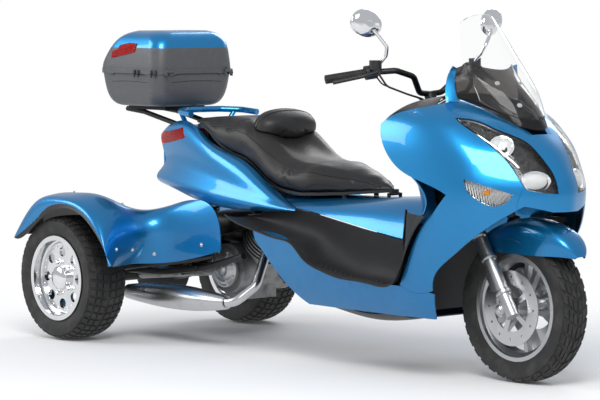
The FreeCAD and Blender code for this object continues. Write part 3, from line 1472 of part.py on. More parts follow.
def box_base():
    low, tall, wall = size("box_floor_height"), size("box_base_height"), size("box_wall")
    outer = box_loft(low, tall, BOX_BASE_SHARES, 0.0)
    outer = outer.fuse(box_band(seam_height - BAND_HEIGHT_SHARE * tall))
    leaves, pin = box_hinge((-1, 1), False, 0.0)
    leaves = leaves.fuse(pin)
    outer = outer.fuse([leaves, left_of(leaves)])
    return largest(outer.cut(box_loft(low + wall, tall, BOX_BASE_SHARES, wall)))


def box_lid():
    low = seam_height + size("running_clearance")
    tall, wall = size("box_lid_height"), size("box_wall")
    outer = box_loft(low, tall, BOX_LID_SHARES, 0.0).fuse(box_band(low))
    leaves, pin = box_hinge((0,), True, size("running_clearance"))
    outer = outer.fuse([leaves, left_of(leaves)])
    outer = outer.cut([pin, left_of(pin)])
    return largest(outer.cut(box_loft(low - wall, tall, BOX_LID_SHARES, wall)))


BOX_COVER_SHARE = 0.58
feature("box_base", box_base())
lid = box_lid()
cover_low = seam_height + size("box_lid_height") * BOX_COVER_SHARE
cover_slab = Part.makeBox(2 * size("box_length"), 2 * size("box_width"), size("box_lid_height"),
                          Vector(at(BOX_PLACE_SHARES[0]).x - size("box_length"),
                                 -size("box_width"), cover_low))
feature("box_lid_shell", largest(lid.cut(cover_slab)))
feature("box_lid_cover", largest(lid.common(cover_slab)))


def box_rack():
    """Rack that carries the box: two bent rails and a plate."""
    plate_low = at(RACK_SHARES[3]).z
    top = size("box_floor_height")
    plate = Part.makeBox(0.6 * size("box_length"), 0.5 * size("box_width"), top - plate_low,
                         Vector(at(BOX_PLACE_SHARES[0]).x - 0.3 * size("box_length"),
                                -0.25 * size("box_width"), plate_low))
    return fuse(rails.Solids + [plate])


feature("box_rack", box_rack())


# Rear fender
FENDER_ACROSS_SHARES = [1.0, 1.003, 0.94, 0.79, 0.63, 0.49, 0.39]
REAR_FENDER_ROWS_SHARES = [
    [(-0.914, 1.580), (-0.980, 1.612), (-1.053, 1.633), (-1.082, 1.633),
     (-1.082, 1.600), (-1.069, 1.580), (-1.020, 1.600)],
    [(-0.633, 1.682), (-0.714, 1.918), (-0.755, 2.000), (-0.776, 2.029),
     (-0.776, 1.970), (-0.755, 1.860), (-0.694, 1.800)],
    [(-0.286, 1.918), (-0.347, 2.204), (-0.367, 2.278), (-0.367, 2.306),
     (-0.367, 2.200), (-0.347, 2.020), (-0.286, 1.900)],
    [(0.163, 2.127), (0.163, 2.294), (0.163, 2.351), (0.163, 2.367),
     (0.163, 2.220), (0.184, 2.040), (0.245, 1.950)],
    [(0.694, 2.122), (0.735, 2.237), (0.735, 2.310), (0.755, 2.347),
     (0.776, 2.200), (0.850, 2.070), (1.000, 2.090)],
    [(1.143, 1.857), (1.204, 1.980), (1.224, 2.041), (1.245, 2.041),
     (1.286, 2.020), (1.449, 2.130), (1.984, 2.310)],
    [(1.620, 1.322), (1.571, 1.300), (1.469, 1.286), (1.306, 1.278),
     (1.245, 1.278), (1.592, 1.300), (2.608, 1.539)],
]
SADDLE_ROWS_SHARES = [
    [(-1.020, 1.600), (-0.939, 1.640), (-0.898, 1.735), (-0.878, 1.743)],
    [(-0.694, 1.800), (-0.633, 1.790), (-0.612, 1.785), (-0.592, 1.780)],
    [(-0.286, 1.900), (-0.245, 1.870), (-0.224, 1.850), (-0.204, 1.845)],
    [(0.245, 1.950), (0.286, 1.910), (0.306, 1.880), (0.327, 1.870)],
    [(1.000, 2.085), (0.980, 2.000), (0.970, 1.910), (0.960, 1.895)],
]
SADDLE_ACROSS_SHARES = [0.3895, 0.27, 0.134, 0.0]


def by_wheel(across, spot):
    """Place from shares of the rear half width and of the rear tyre's radius."""
    half = (size("rear_track") + size("rear_tyre_width")) / 2 + 5 * size("fender_wall")
    radius = size("rear_tyre_radius")
    return Vector(wheel_centre(-1).x + spot[0] * radius, -across * half, spot[1] * radius)


def rear_fender():
    rows = [[by_wheel(across, spot) for across, spot in zip(FENDER_ACROSS_SHARES, line)]
            for line in REAR_FENDER_ROWS_SHARES]
    return panel(rows, size("fender_wall"))


arch = rear_fender()
feature("rear_fender_right", arch)
feature("rear_fender_left", left_of(arch))
saddle_rows = []
for line in SADDLE_ROWS_SHARES:
    right = [by_wheel(across, spot) for across, spot in zip(SADDLE_ACROSS_SHARES, line)]
    saddle_rows.append(right + [Vector(p.x, -p.y, p.z) for p in right[-2::-1]])
saddle = largest(panel(saddle_rows, size("fender_wall")).cut([arch, left_of(arch)]))
feature("fender_saddle", saddle)


# Chassis pieces that reach up to the panels they carry
FENDER_STRUT_SHARES = [(-1.0, -0.4286, 0.1899), (-1.0, -0.4286, 0.4264)]
strut = tube([at(share) for share in FENDER_STRUT_SHARES], size("axle_radius"))
axle = axle_shape.fuse([strut, left_of(strut)]).cut([arch, left_of(arch), saddle, engine_shape])
feature("rear_axle", largest(axle))

BRACKET_SHARES = [
    [
        (-0.2524, -0.2143, 0.2209), (-0.2524, -0.4929, 0.2248),
    ],
    [
        (-0.4369, -0.2143, 0.2209), (-0.4369, -0.4929, 0.2791),
    ],
    [
        (-0.2913, -0.2143, 0.2209), (-0.2913, -0.3743, 0.2674),
    ],
    [
        (-0.4854, -0.2143, 0.2209), (-0.4854, -0.3743, 0.3643),
    ],
    [
        (-0.7573, 0, 0.4961), (-0.7573, -0.3357, 0.4961),
    ],
]
SEAT_POST_SHARES = [
        (-0.7864, -0.1686, 0.5217), (-0.7864, -0.1686, 0.6977),
    ]


def frame():
    """Looped frame with the brackets that hold floor, side, tail and seat."""
    thick = 0.5 * size("frame_tube_radius")
    arms = [tube([at(share) for share in pair], thick) for pair in BRACKET_SHARES]
    arms.append(tube([at(share) for share in SEAT_POST_SHARES], thick))
    lowered = pan.copy()
    lowered.translate(Vector(0, 0, -size("running_clearance")))
    mates = [tail_whole, floor_side, lower, belly, tunnel, lowered, engine_shape]
    arm_side = Part.makeCompound(arms).cut(mates)
    near = []
    for solid in arm_side.Solids:
        if solid.distToShape(loops)[0] < size("running_clearance"):
            near.append(solid)
    return largest(fuse([loops] + near + [left_of(solid) for solid in near]))


feature("frame", frame())


doc.recompute()
for obj, name in kept:
    if "Invalid" in obj.State or "Error" in obj.State:
        raise RuntimeError(name + " failed")
    if obj.Shape.isNull() or not obj.Shape.isValid():
        raise RuntimeError(name + " is not valid")
os.makedirs("parts", exist_ok=True)
for obj, name in kept:
    obj.Shape.exportStep("parts/" + name + ".step")
print(len(kept), "sub-parts written")
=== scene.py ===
"""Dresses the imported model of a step-through motor trike for a studio view.

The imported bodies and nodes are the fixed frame. Each class below is one sub-assembly: it holds its
sizes as fields, builds the pieces that the source leaves plain, and gives each a finish. Points,
turned profiles and the sizes that go with them are in millimetres, all else is in metres.
"""
import logging
import math
from collections.abc import Callable, Sequence
from dataclasses import dataclass
from enum import Enum
from typing import Optional, Union

import bmesh
import bpy
from mathutils import Matrix, Vector


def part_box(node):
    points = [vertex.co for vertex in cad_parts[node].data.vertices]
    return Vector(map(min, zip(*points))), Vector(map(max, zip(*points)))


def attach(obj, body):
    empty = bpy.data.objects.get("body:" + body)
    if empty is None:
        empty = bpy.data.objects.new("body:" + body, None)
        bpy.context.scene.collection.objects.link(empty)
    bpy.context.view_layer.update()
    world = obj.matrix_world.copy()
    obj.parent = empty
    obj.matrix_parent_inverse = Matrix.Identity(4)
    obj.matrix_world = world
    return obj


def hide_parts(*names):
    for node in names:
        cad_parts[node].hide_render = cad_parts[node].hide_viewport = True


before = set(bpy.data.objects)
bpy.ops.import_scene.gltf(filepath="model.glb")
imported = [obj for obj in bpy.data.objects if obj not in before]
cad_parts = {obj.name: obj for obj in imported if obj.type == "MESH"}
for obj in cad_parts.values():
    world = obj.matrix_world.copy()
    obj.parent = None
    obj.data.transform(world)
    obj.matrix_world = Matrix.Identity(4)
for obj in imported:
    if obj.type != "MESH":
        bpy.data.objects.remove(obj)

LOG = logging.getLogger("trike")
Point = tuple[float, float, float]
Points = tuple[Point, ...]
Colour = tuple[float, float, float]
Profile = tuple[tuple[float, float], ...]
Number = Union[float, "Value"]

MM = 0.001
FRONT_AXLE = 1.033
WHITE: Colour = (1.0, 1.0, 1.0)


class Side(Enum):
    """The two sides of the vehicle, as the sign of Y."""

    RIGHT = -1
    LEFT = 1

    @property
    def word(self) -> str:
        """Word that node names end in."""
        return self.name.lower()

    @property
    def out(self) -> Vector:
        """Direction away from the vehicle's middle."""
        return Vector((0.0, float(self.value), 0.0))


def operator(operation: str, swapped: bool = False) -> Callable[..., "Value"]:
    """Method of Value that adds one Math node.

    Args:
        operation: Name of the Math operation.
        swapped: Puts the value after its operand.

    Returns:
        The method.
    """
    def apply(value: "Value", *others: Number) -> "Value":
        """Add the node."""
        operands = (*others, value) if swapped else (value, *others)
        return value.graph.node("ShaderNodeMath", {"operation": operation},
                                dict(enumerate(operands)))
    return apply


class Value:
    """A number or colour on its way through a material; its operators add Math nodes."""

    def __init__(self, graph: "Graph", socket: Optional[bpy.types.NodeSocket]) -> None:
        """Wrap one output socket of a graph."""
        self.graph = graph
        self.socket = socket

    __add__ = operator("ADD")
    __sub__ = operator("SUBTRACT")
    __rsub__ = operator("SUBTRACT", swapped=True)
    __mul__ = operator("MULTIPLY")
    __pow__ = operator("POWER")
    __lt__ = operator("LESS_THAN")
    larger = operator("MAXIMUM")
    wave = operator("SINE")
    size = operator("ABSOLUTE")
    sign = operator("SIGN")

    def band(self, low: float, high: float) -> "Value":
        """Smooth step from zero at low to one at high."""
        return self.graph.node("ShaderNodeMapRange", {"interpolation_type": "SMOOTHSTEP"},
                               {0: self, 1: low, 2: high, 3: 0.0, 4: 1.0})


class Graph:
    """Node tree of one material or world, with one method that adds every node."""

    def __init__(self, owner: Union[bpy.types.Material, bpy.types.World]) -> None:
        """Empty the tree of a new material or world."""
        self.owner = owner
        owner.use_nodes = True
        self.tree = owner.node_tree
        self.tree.nodes.clear()

    def node(self, kind: str, settings: Optional[dict] = None, inputs: Optional[dict] = None,
             output: Union[int, str] = 0) -> Value:
        """Add a node.

        Args:
            kind: Type of the node.
            settings: Attributes set first.
            inputs: Values or links by socket name or number.
            output: Socket that the result wraps.

        Returns:
            The wrapped output socket.
        """
        made = self.tree.nodes.new(kind)
        for key, value in (settings or {}).items():
            setattr(made, key, value)
        for key, value in (inputs or {}).items():
            socket = made.inputs[key]
            if isinstance(value, Value):
                self.tree.links.new(value.socket, socket)
            else:
                socket.default_value = (*value, 1.0) if socket.type == "RGBA" else value
        return Value(self, made.outputs[output] if made.outputs else None)

    def place(self) -> Value:
        """Object coordinates in metres."""
        return self.node("ShaderNodeTexCoord", output="Object")

    def parts(self, vector: Value) -> tuple[Value, ...]:
        """Split a vector into its three numbers."""
        split = self.node("ShaderNodeSeparateXYZ", inputs={0: vector})
        return tuple(Value(self, output) for output in split.socket.node.outputs)

    def noise(self, scale: float, detail: float = 3.0) -> Value:
        """Cloudy noise with a number of features for each metre."""
        return self.node("ShaderNodeTexNoise", inputs={
            "Vector": self.place(), "Scale": scale, "Detail": detail, "Roughness": 0.55})

    def cells(self, scale: float, feature: str = "F1") -> Value:
        """Distance in a pattern of cells."""
        return self.node("ShaderNodeTexVoronoi", {"feature": feature},
                         {"Vector": self.place(), "Scale": scale}, output="Distance")

    def blend(self, factor: Number, low: Union[Colour, Value], high: Union[Colour, Value]) -> Value:
        """Mix two colours."""
        return self.node("ShaderNodeMix", {"data_type": "RGBA"}, {0: factor, 6: low, 7: high}, 2)

    def bump(self, height: Number, depth: float) -> Value:
        """Surface relief of a depth in metres."""
        return self.node("ShaderNodeBump", inputs={"Height": height, "Distance": depth,
                                                   "Strength": 1.0})

    def finish(self, inputs: dict) -> bpy.types.Material:
        """Close the material with one shader.

        Args:
            inputs: Values or links of the shader's sockets.

        Returns:
            The finished material.
        """
        shader = self.node("ShaderNodeBsdfPrincipled", inputs=inputs)
        self.node("ShaderNodeOutputMaterial", inputs={"Surface": shader})
        return self.owner


MADE: dict[str, bpy.types.Material] = {}


@dataclass(frozen=True)
class Finish:
    """One finish; each kind of surface builds its own nodes."""

    name: str
    colour: Colour

    def nodes(self, graph: Graph) -> dict:
        """Give the shader's sockets."""
        return {"Base Color": self.colour}

    def material(self) -> bpy.types.Material:
        """Material of this finish, built once."""
        if self.name not in MADE:
            graph = Graph(bpy.data.materials.new(self.name))
            MADE[self.name] = graph.finish(self.nodes(graph))
        return MADE[self.name]

    def darker(self, share: float) -> Colour:
        """Finish's colour times a share."""
        return tuple(c * share for c in self.colour)


@dataclass(frozen=True)
class MetallicPaint(Finish):
    """Deep metallic paint under a clear coat, with painted shade that darkens it low down and on
    faces inside hollows.
    """

    deep: Colour = (0.003, 0.075, 0.240)
    flake_blue: Colour = (0.10, 0.52, 0.90)
    road_dust: Colour = (0.20, 0.19, 0.17)
    unpainted: Colour = (0.008, 0.008, 0.009)
    flakes: float = 900.0
    dust_top: float = 0.75
    hollow: Optional[Point] = None
    across_share: float = 1.0
    limit: float = 0.0

    def inside(self, graph: Graph) -> Value:
        """One on faces that look towards the hollow's centre, which get a near-black painted shade.
        """
        along, across, up = graph.parts(graph.place())
        ahead, aside, above = graph.parts(graph.node("ShaderNodeNewGeometry", output="Normal"))
        reach = ((along - self.hollow[0]) * ahead
                 + (across.size() - self.hollow[1]) * (aside * across.sign()) * self.across_share
                 + (up - self.hollow[2]) * above)
        return reach < self.limit

    def nodes(self, graph: Graph) -> dict:
        """Flakes, slow colour drift, painted shade low down and inside hollows, road dust near the
        ground and orange peel.
        """
        flake = graph.cells(self.flakes)
        drift = graph.noise(3.0, 2.0)
        height = graph.parts(graph.place())[2]
        # Share that counts as low down; it sets both the painted shade and the road dust.
        low = 1 - height.band(0.15, self.dust_top)
        # Painted shade: the blue turns darker towards the bottom, mixed with a slow random drift.
        tone = graph.blend(low * 0.42 + drift * 0.16, self.colour, self.deep)
        bright = graph.blend((flake < 0.32) * 0.12, tone, self.flake_blue)
        dust = graph.noise(26.0, 5.0).band(0.5, 0.75) * low
        colour = graph.blend(dust * 0.12, bright, self.road_dust)
        peel = graph.noise(420.0, 1.0)
        # Faces that look into the hollow get a near-black painted shade.
        if self.hollow:
            colour = graph.blend(self.inside(graph), colour, self.unpainted)
        return {"Base Color": colour, "Metallic": 0.8, "Roughness": drift * 0.08 + 0.30,
                "Coat Weight": 0.8 - dust * 0.5, "Coat Roughness": 0.05,
                "Normal": graph.bump(peel, 0.00006)}


@dataclass(frozen=True)
class MouldedPlastic(Finish):
    """Moulded plastic with a fine spark grain and rubbed patches."""

    grain: float = 900.0
    depth: float = 0.00012
    shine: float = 0.42

    def nodes(self, graph: Graph) -> dict:
        """Grain, rubbed patches and pale dust."""
        grain = graph.noise(self.grain, 2.0)
        patch = graph.noise(9.0, 4.0)
        dust = graph.noise(40.0, 6.0).band(0.52, 0.8)
        pale = tuple(min(1.0, c * 1.7 + 0.01) for c in self.colour)
        return {"Base Color": graph.blend(dust * 0.35 + patch * 0.15, self.colour, pale),
                "Roughness": patch * 0.22 + (self.shine - 0.08) + dust * 0.1,
                "Normal": graph.bump(grain, self.depth)}


@dataclass(frozen=True)
class Vinyl(Finish):
    """Seat vinyl with a pebbled leather grain."""

    grain: float = 420.0
    worn_colour: Colour = (0.035, 0.034, 0.034)

    def nodes(self, graph: Graph) -> dict:
        """Pebbles, creases and a sheen that varies where riders sit."""
        pebble = graph.cells(self.grain, "SMOOTH_F1")
        crease = graph.noise(60.0, 4.0)
        worn = graph.noise(7.0, 2.0)
        tone = graph.blend(pebble.band(0.1, 0.7) * 0.6, self.colour, self.darker(0.45))
        return {"Base Color": graph.blend(worn.band(0.5, 0.7) * 0.3, tone, self.worn_colour),
                "Roughness": worn * 0.18 + 0.34, "Specular IOR Level": 0.42,
                "Normal": graph.bump(pebble * 0.7 + crease * 0.3, 0.00035)}


@dataclass(frozen=True)
class Rubber(Finish):
    """Black tyre rubber with a dusty bloom."""

    pale: Colour = (0.060, 0.058, 0.055)

    def nodes(self, graph: Graph) -> dict:
        """Bloom, scuffs and a fine moulded grain."""
        bloom = graph.noise(22.0, 5.0)
        fine = graph.noise(700.0, 2.0)
        return {"Base Color": graph.blend(bloom.band(0.4, 0.75) * 0.55, self.colour, self.pale),
                "Roughness": bloom * 0.2 + 0.58, "Normal": graph.bump(fine, 0.00015)}


@dataclass(frozen=True)
class BrightMetal(Finish):
    """Chrome, polished or cast metal, by its roughness and grain."""

    rough: float = 0.06
    grain: float = 0.0
    depth: float = 0.0002
    tarnish: float = 0.06

    def nodes(self, graph: Graph) -> dict:
        """Smudges, tarnish and casting grain."""
        smudge = graph.noise(14.0, 5.0)
        values = {"Base Color": graph.blend(smudge.band(0.45, 0.8) * self.tarnish * 4,
                                            self.colour, self.darker(0.55 - 1.8 * self.tarnish)),
                  "Metallic": 1.0, "Roughness": smudge * self.tarnish * 1.6 + self.rough}
        if self.grain:
            values["Normal"] = graph.bump(graph.noise(self.grain, 4.0), self.depth)
        return values


@dataclass(frozen=True)
class ClearPart(Finish):
    """Clear or tinted moulded lens, screen or glass."""

    rough: float = 0.02
    tint: float = 1.0
    ridges: float = 0.0
    ior: float = 1.22

    def nodes(self, graph: Graph) -> dict:
        """Fine wipe marks, and ridges where the lens has them."""
        marks = graph.noise(30.0, 6.0)
        values = {"Base Color": graph.blend(marks.band(0.5, 0.9) * 0.1, self.colour,
                                            self.darker(0.8)),
                  "Transmission Weight": self.tint, "IOR": self.ior,
                  "Roughness": marks * 0.03 + self.rough}
        if self.ridges:
            _, across, up = graph.parts(graph.place())
            values["Normal"] = graph.bump(((across + up) * self.ridges).wave(), 0.0006)
        return values


@dataclass(frozen=True)
class RibbedMetal(BrightMetal):
    """Chrome reflector with upright ribs."""

    ribs: float = 520.0

    def nodes(self, graph: Graph) -> dict:
        """Metal with a wave across it."""
        along, across, up = graph.parts(graph.place())
        wave = ((along - across.size() + up * 0.3) * self.ribs).wave()
        return {**super().nodes(graph), "Normal": graph.bump(wave, 0.0016)}


@dataclass(frozen=True)
class MeshPlastic(Finish):
    """Glossy black lamp housing with a fine pale mesh near its top rear."""

    mesh: Colour = (0.30, 0.30, 0.31)
    mesh_from: float = 0.835
    mesh_full: float = 0.860

    def nodes(self, graph: Graph) -> dict:
        """Cells drawn as a grid, kept to the upper part."""
        line = 1 - graph.cells(150.0, "DISTANCE_TO_EDGE").band(0.02, 0.09)
        drawn = line * graph.parts(graph.place())[2].band(self.mesh_from, self.mesh_full)
        return {"Base Color": graph.blend(drawn * 0.55, self.colour, self.mesh),
                "Roughness": graph.noise(40.0) * 0.1 + 0.22, "Normal": graph.bump(drawn, 0.0010)}


BLUE = MetallicPaint("blue_paint", (0.003, 0.255, 0.590))
# These three paints also lay a painted shade on faces inside their hollows.
HULL_BLUE = MetallicPaint("hull_paint", BLUE.colour, hollow=(0.783, 0.0, 0.62))
FRONT_BLUE = MetallicPaint("front_fender_paint", BLUE.colour, hollow=(FRONT_AXLE, 0.0, 0.264))
REAR_BLUE = MetallicPaint("rear_fender_paint", BLUE.colour, hollow=(-1.027, 0.45, 0.30),
                          across_share=0.0, limit=-0.04)
BLACK_PLASTIC = MouldedPlastic("black_plastic", (0.014, 0.014, 0.015))
MAT_PLASTIC = MouldedPlastic("mat_plastic", (0.010, 0.010, 0.011), 500.0, 0.0003, 0.6)
GREY_PLASTIC = MouldedPlastic("grey_plastic", (0.085, 0.088, 0.092), 1100.0, 0.0001, 0.36)
SEAT_VINYL = Vinyl("seat_vinyl", (0.022, 0.021, 0.021))
VINYL_SEAM = Vinyl("vinyl_seam", (0.010, 0.010, 0.010), 800.0)
TYRE_RUBBER = Rubber("tyre_rubber", (0.016, 0.016, 0.016))
GRIP_RUBBER = Rubber("grip_rubber", (0.010, 0.010, 0.010))
CHROME = BrightMetal("chrome", (0.86, 0.87, 0.88), 0.04)
WHEEL_CHROME = BrightMetal("wheel_chrome", (0.78, 0.79, 0.80), 0.10, tarnish=0.05)
RIBBED_CHROME = RibbedMetal("ribbed_chrome", (0.80, 0.81, 0.82), 0.08)
MIRROR_SILVER = BrightMetal("mirror_silver", (0.90, 0.91, 0.92), 0.01, tarnish=0.01)
ALLOY = BrightMetal("cast_alloy", (0.52, 0.53, 0.54), 0.34, 260.0)
SATIN_STEEL = BrightMetal("satin_steel", (0.60, 0.61, 0.62), 0.24, 90.0, 0.00005)
ENGINE_METAL = BrightMetal("engine_metal", (0.30, 0.305, 0.31), 0.36, 120.0, 0.0006, 0.20)
DARK_METAL = BrightMetal("dark_metal", (0.035, 0.036, 0.038), 0.38, 200.0)
CLEAR_LENS = ClearPart("clear_lens", (0.97, 0.98, 0.98))
SCREEN = ClearPart("clear_screen", (0.97, 0.98, 0.98), 0.01)
SMOKED = ClearPart("smoked_lens", (0.10, 0.095, 0.092), 0.06, 0.85)
RED_LENS = ClearPart("red_lens", (0.75, 0.015, 0.015), 0.05, 0.75, 900.0)
WHITE_LENS = ClearPart("white_lens", (0.95, 0.96, 0.97), 0.10, 0.25)
AMBER = ClearPart("amber_bulb", (0.95, 0.35, 0.03), 0.08, 0.4)
LAMP_MESH = MeshPlastic("lamp_mesh", (0.010, 0.010, 0.011))

# A star stands for each side.
FINISH_NODES: tuple[tuple[Finish, str], ...] = (
    (BLUE, "lower_side_panel_* tail_panel_* centre_tunnel leg_shield box_lid_cover fender_saddle"
           " screen_surrounds tail_deck grab_rail"),
    (HULL_BLUE, "side_fairing_* nose_cowl"),
    (FRONT_BLUE, "front_fender"),
    (REAR_BLUE, "rear_fender_*"),
    (BLACK_PLASTIC, "switchgear belly_pan dash wheel_well seat_pan"),
    (MAT_PLASTIC, "floorboard_*"),
    (GREY_PLASTIC, "box_base box_lid_shell"),
    (SEAT_VINYL, "seat_cushion backrest_pad"),
    (TYRE_RUBBER, "front_tyre rear_tyre_*"),
    (GRIP_RUBBER, "grips control_cables"),
    (CHROME, "mirror_*"),
    (WHEEL_CHROME, "rear_rim_*"),
    (ALLOY, "front_rim fork brake_calipers"),
    (SATIN_STEEL, "front_discs muffler"),
    (ENGINE_METAL, "engine"),
    (DARK_METAL, "frame rear_axle rear_shocks handlebar box_rack seat_hinge"),
    (CLEAR_LENS, "headlight_* turn_signal_*"),
    (SCREEN, "windshield"),
    (SMOKED, "screen_garnish"),
    (RED_LENS, "tail_lights"),
)


def dress_nodes() -> None:
    """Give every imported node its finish."""
    for finish, names in FINISH_NODES:
        for name in names.split():
            for node in sorted({name.replace("*", side.word) for side in Side}):
                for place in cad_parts[node].material_slots:
                    place.material = finish.material()


def spot(along: float, across: float, up: float, side: Side = Side.RIGHT) -> Vector:
    """Point given in millimetres from the ground under the front axle.

    Args:
        along: Distance ahead of the axle.
        across: Distance to the left.
        up: Height.
        side: Side that the point belongs to; the left one is the mirror image.

    Returns:
        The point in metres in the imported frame.
    """
    return Vector((FRONT_AXLE + along * MM, -side.value * across * MM, up * MM))


def facing(place: Vector, normal: Vector) -> Matrix:
    """Matrix with its Z axis along a normal at a place."""
    return Matrix.Translation(place) @ normal.to_track_quat("Z", "Y").to_matrix().to_4x4()


def on_surface(node: str, point: Vector) -> tuple[Vector, Vector]:
    """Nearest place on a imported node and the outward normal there."""
    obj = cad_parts[node]
    world = obj.matrix_world
    _, place, normal, _ = obj.closest_point_on_mesh(world.inverted() @ point)
    return world @ place, (world.to_3x3() @ normal).normalized()


def circle(count: int, radius: float = 1.0, start: float = 0.0) -> list[tuple[float, float]]:
    """Points of a circle; start is the first one's turn, in steps."""
    turns = [math.tau * (step + start) / count for step in range(count)]
    return [(radius * math.cos(turn), radius * math.sin(turn)) for turn in turns]


def middle_of(node: str) -> Vector:
    """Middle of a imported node's box."""
    low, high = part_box(node)
    return (Vector(low) + Vector(high)) / 2


class Shape:
    """Mesh in the making, skinned from rows of points."""

    def __init__(self, name: str, side: Optional[Side] = None) -> None:
        """Start an empty mesh; the side's word, if any, ends its name."""
        self.name = f"{name}_{side.word}" if side else name
        self.bm = bmesh.new()

    def rows(self, rows: Sequence[Sequence[Vector]], around: bool = False, along: bool = False,
             caps: bool = False) -> list[bmesh.types.BMFace]:
        """Skin rows of points with four-sided faces.

        Args:
            rows: Points, the same number in each row.
            around: Joins the last point of a row to its first.
            along: Joins the last row to the first.
            caps: Closes the first and last rows with one face each.

        Returns:
            The new faces, row by row.
        """
        made = [[self.bm.verts.new(point) for point in row] for row in rows]
        faces = []
        for i in range(len(made) if along else len(made) - 1):
            low, high = made[i], made[(i + 1) % len(made)]
            for j in range(len(low) if around else len(low) - 1):
                k = (j + 1) % len(low)
                faces.append(self.bm.faces.new((low[j], low[k], high[k], high[j])))
        if caps:
            self.bm.faces.new(made[0][::-1])
            self.bm.faces.new(made[-1])
        return faces

    def lathe(self, profile: Profile, place: Matrix, steps: int) -> None:
        """Turn a closed profile of radius and height about the local Z axis."""
        self.rows([[place @ Vector((x, y, height * MM)) for x, y in circle(steps, radius * MM)]
                   for radius, height in profile], around=True, caps=True)

    def tube(self, path: Sequence[Vector], radius: float, sides: int = 8,
             flat: float = 1.0) -> None:
        """Round or flattened tube along points."""
        rows = []
        for index, point in enumerate(path):
            ahead = path[min(index + 1, len(path) - 1)] - path[max(index - 1, 0)]
            across = ahead.cross(Vector((0.0, 0.0, 1.0)))
            if across.length < 1e-6:
                across = ahead.cross(Vector((0.0, 1.0, 0.0)))
            across.normalize()
            over = across.cross(ahead).normalized()
            rows.append([point + across * x + over * flat * y for x, y in circle(sides, radius)])
        self.rows(rows, around=True, caps=True)

    def copy_node(self, node: str, move: Vector = Vector((0.0, 0.0, 0.0)),
                  swell: float = 1.0) -> None:
        """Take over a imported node's mesh, merged, grown about its middle and moved."""
        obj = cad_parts[node]
        self.bm.from_mesh(obj.data)
        bmesh.ops.transform(self.bm, matrix=obj.matrix_world, verts=self.bm.verts)
        bmesh.ops.remove_doubles(self.bm, verts=self.bm.verts, dist=0.00002)
        middle = middle_of(node)
        for vert in self.bm.verts:
            vert.co = middle + (vert.co - middle) * swell + move

    def piece(self) -> bpy.types.Object:
        """Object made of the mesh so far."""
        bmesh.ops.recalc_face_normals(self.bm, faces=self.bm.faces)
        data = bpy.data.meshes.new(self.name)
        self.bm.to_mesh(data)
        self.bm.free()
        made = bpy.data.objects.new(self.name, data)
        bpy.context.scene.collection.objects.link(made)
        return made

    def done(self, finish: Finish, body: str = "chassis", bevel: float = 0.0,
             wall: float = 0.0, smooth: int = 0, crease: float = 35.0) -> bpy.types.Object:
        """Turn the mesh into a finished piece that rides on a body.

        Args:
            finish: Finish of the surface.
            body: Body that it moves with.
            bevel: Width of rounded edges in metres.
            wall: Thickness given to an open skin in metres.
            smooth: Rounds of subdivision.
            crease: Angle in degrees above which an edge stays sharp.

        Returns:
            The piece.
        """
        piece = self.piece()
        piece.data.materials.append(finish.material())
        if wall:
            piece.modifiers.new("wall", "SOLIDIFY").thickness = wall
        if bevel:
            made = piece.modifiers.new("bevel", "BEVEL")
            made.width, made.segments, made.limit_method = bevel, 2, "ANGLE"
        if smooth:
            made = piece.modifiers.new("smooth", "SUBSURF")
            made.levels = made.render_levels = smooth
        settle(piece)
        round_off(piece, crease)
        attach(piece, body)
        return piece


def settle(piece: bpy.types.Object) -> None:
    """Apply all modifiers of a piece to its mesh."""
    graph = bpy.context.evaluated_depsgraph_get()
    fresh = bpy.data.meshes.new_from_object(piece.evaluated_get(graph), depsgraph=graph)
    piece.modifiers.clear()
    old = piece.data
    piece.data = fresh
    bpy.data.meshes.remove(old)


def round_off(piece: bpy.types.Object, crease: float) -> None:
    """Shade a piece smooth, with edges above an angle kept sharp."""
    bpy.ops.object.select_all(action="DESELECT")
    piece.select_set(True)
    bpy.context.view_layer.objects.active = piece
    bpy.ops.object.shade_smooth_by_angle(angle=math.radians(crease))


# Shares of the half width, each with a share of the rise from bead to crown.
CROWN_SHARES = ((0.0, 1.0), (0.5, 0.985), (0.8, 0.93), (0.93, 0.86), (0.98, 0.8))
FLANK_SHARES = ((0.80, 0.10), (0.95, 0.30), (1.0, 0.6), (0.985, 0.78))
# Edges of the tread's lanes as shares of the half width; every second lane has blocks.
LANE_SHARES = (-0.93, -0.68, -0.63, -0.38, -0.33, -0.06, 0.06, 0.33, 0.38, 0.63, 0.68, 0.93)


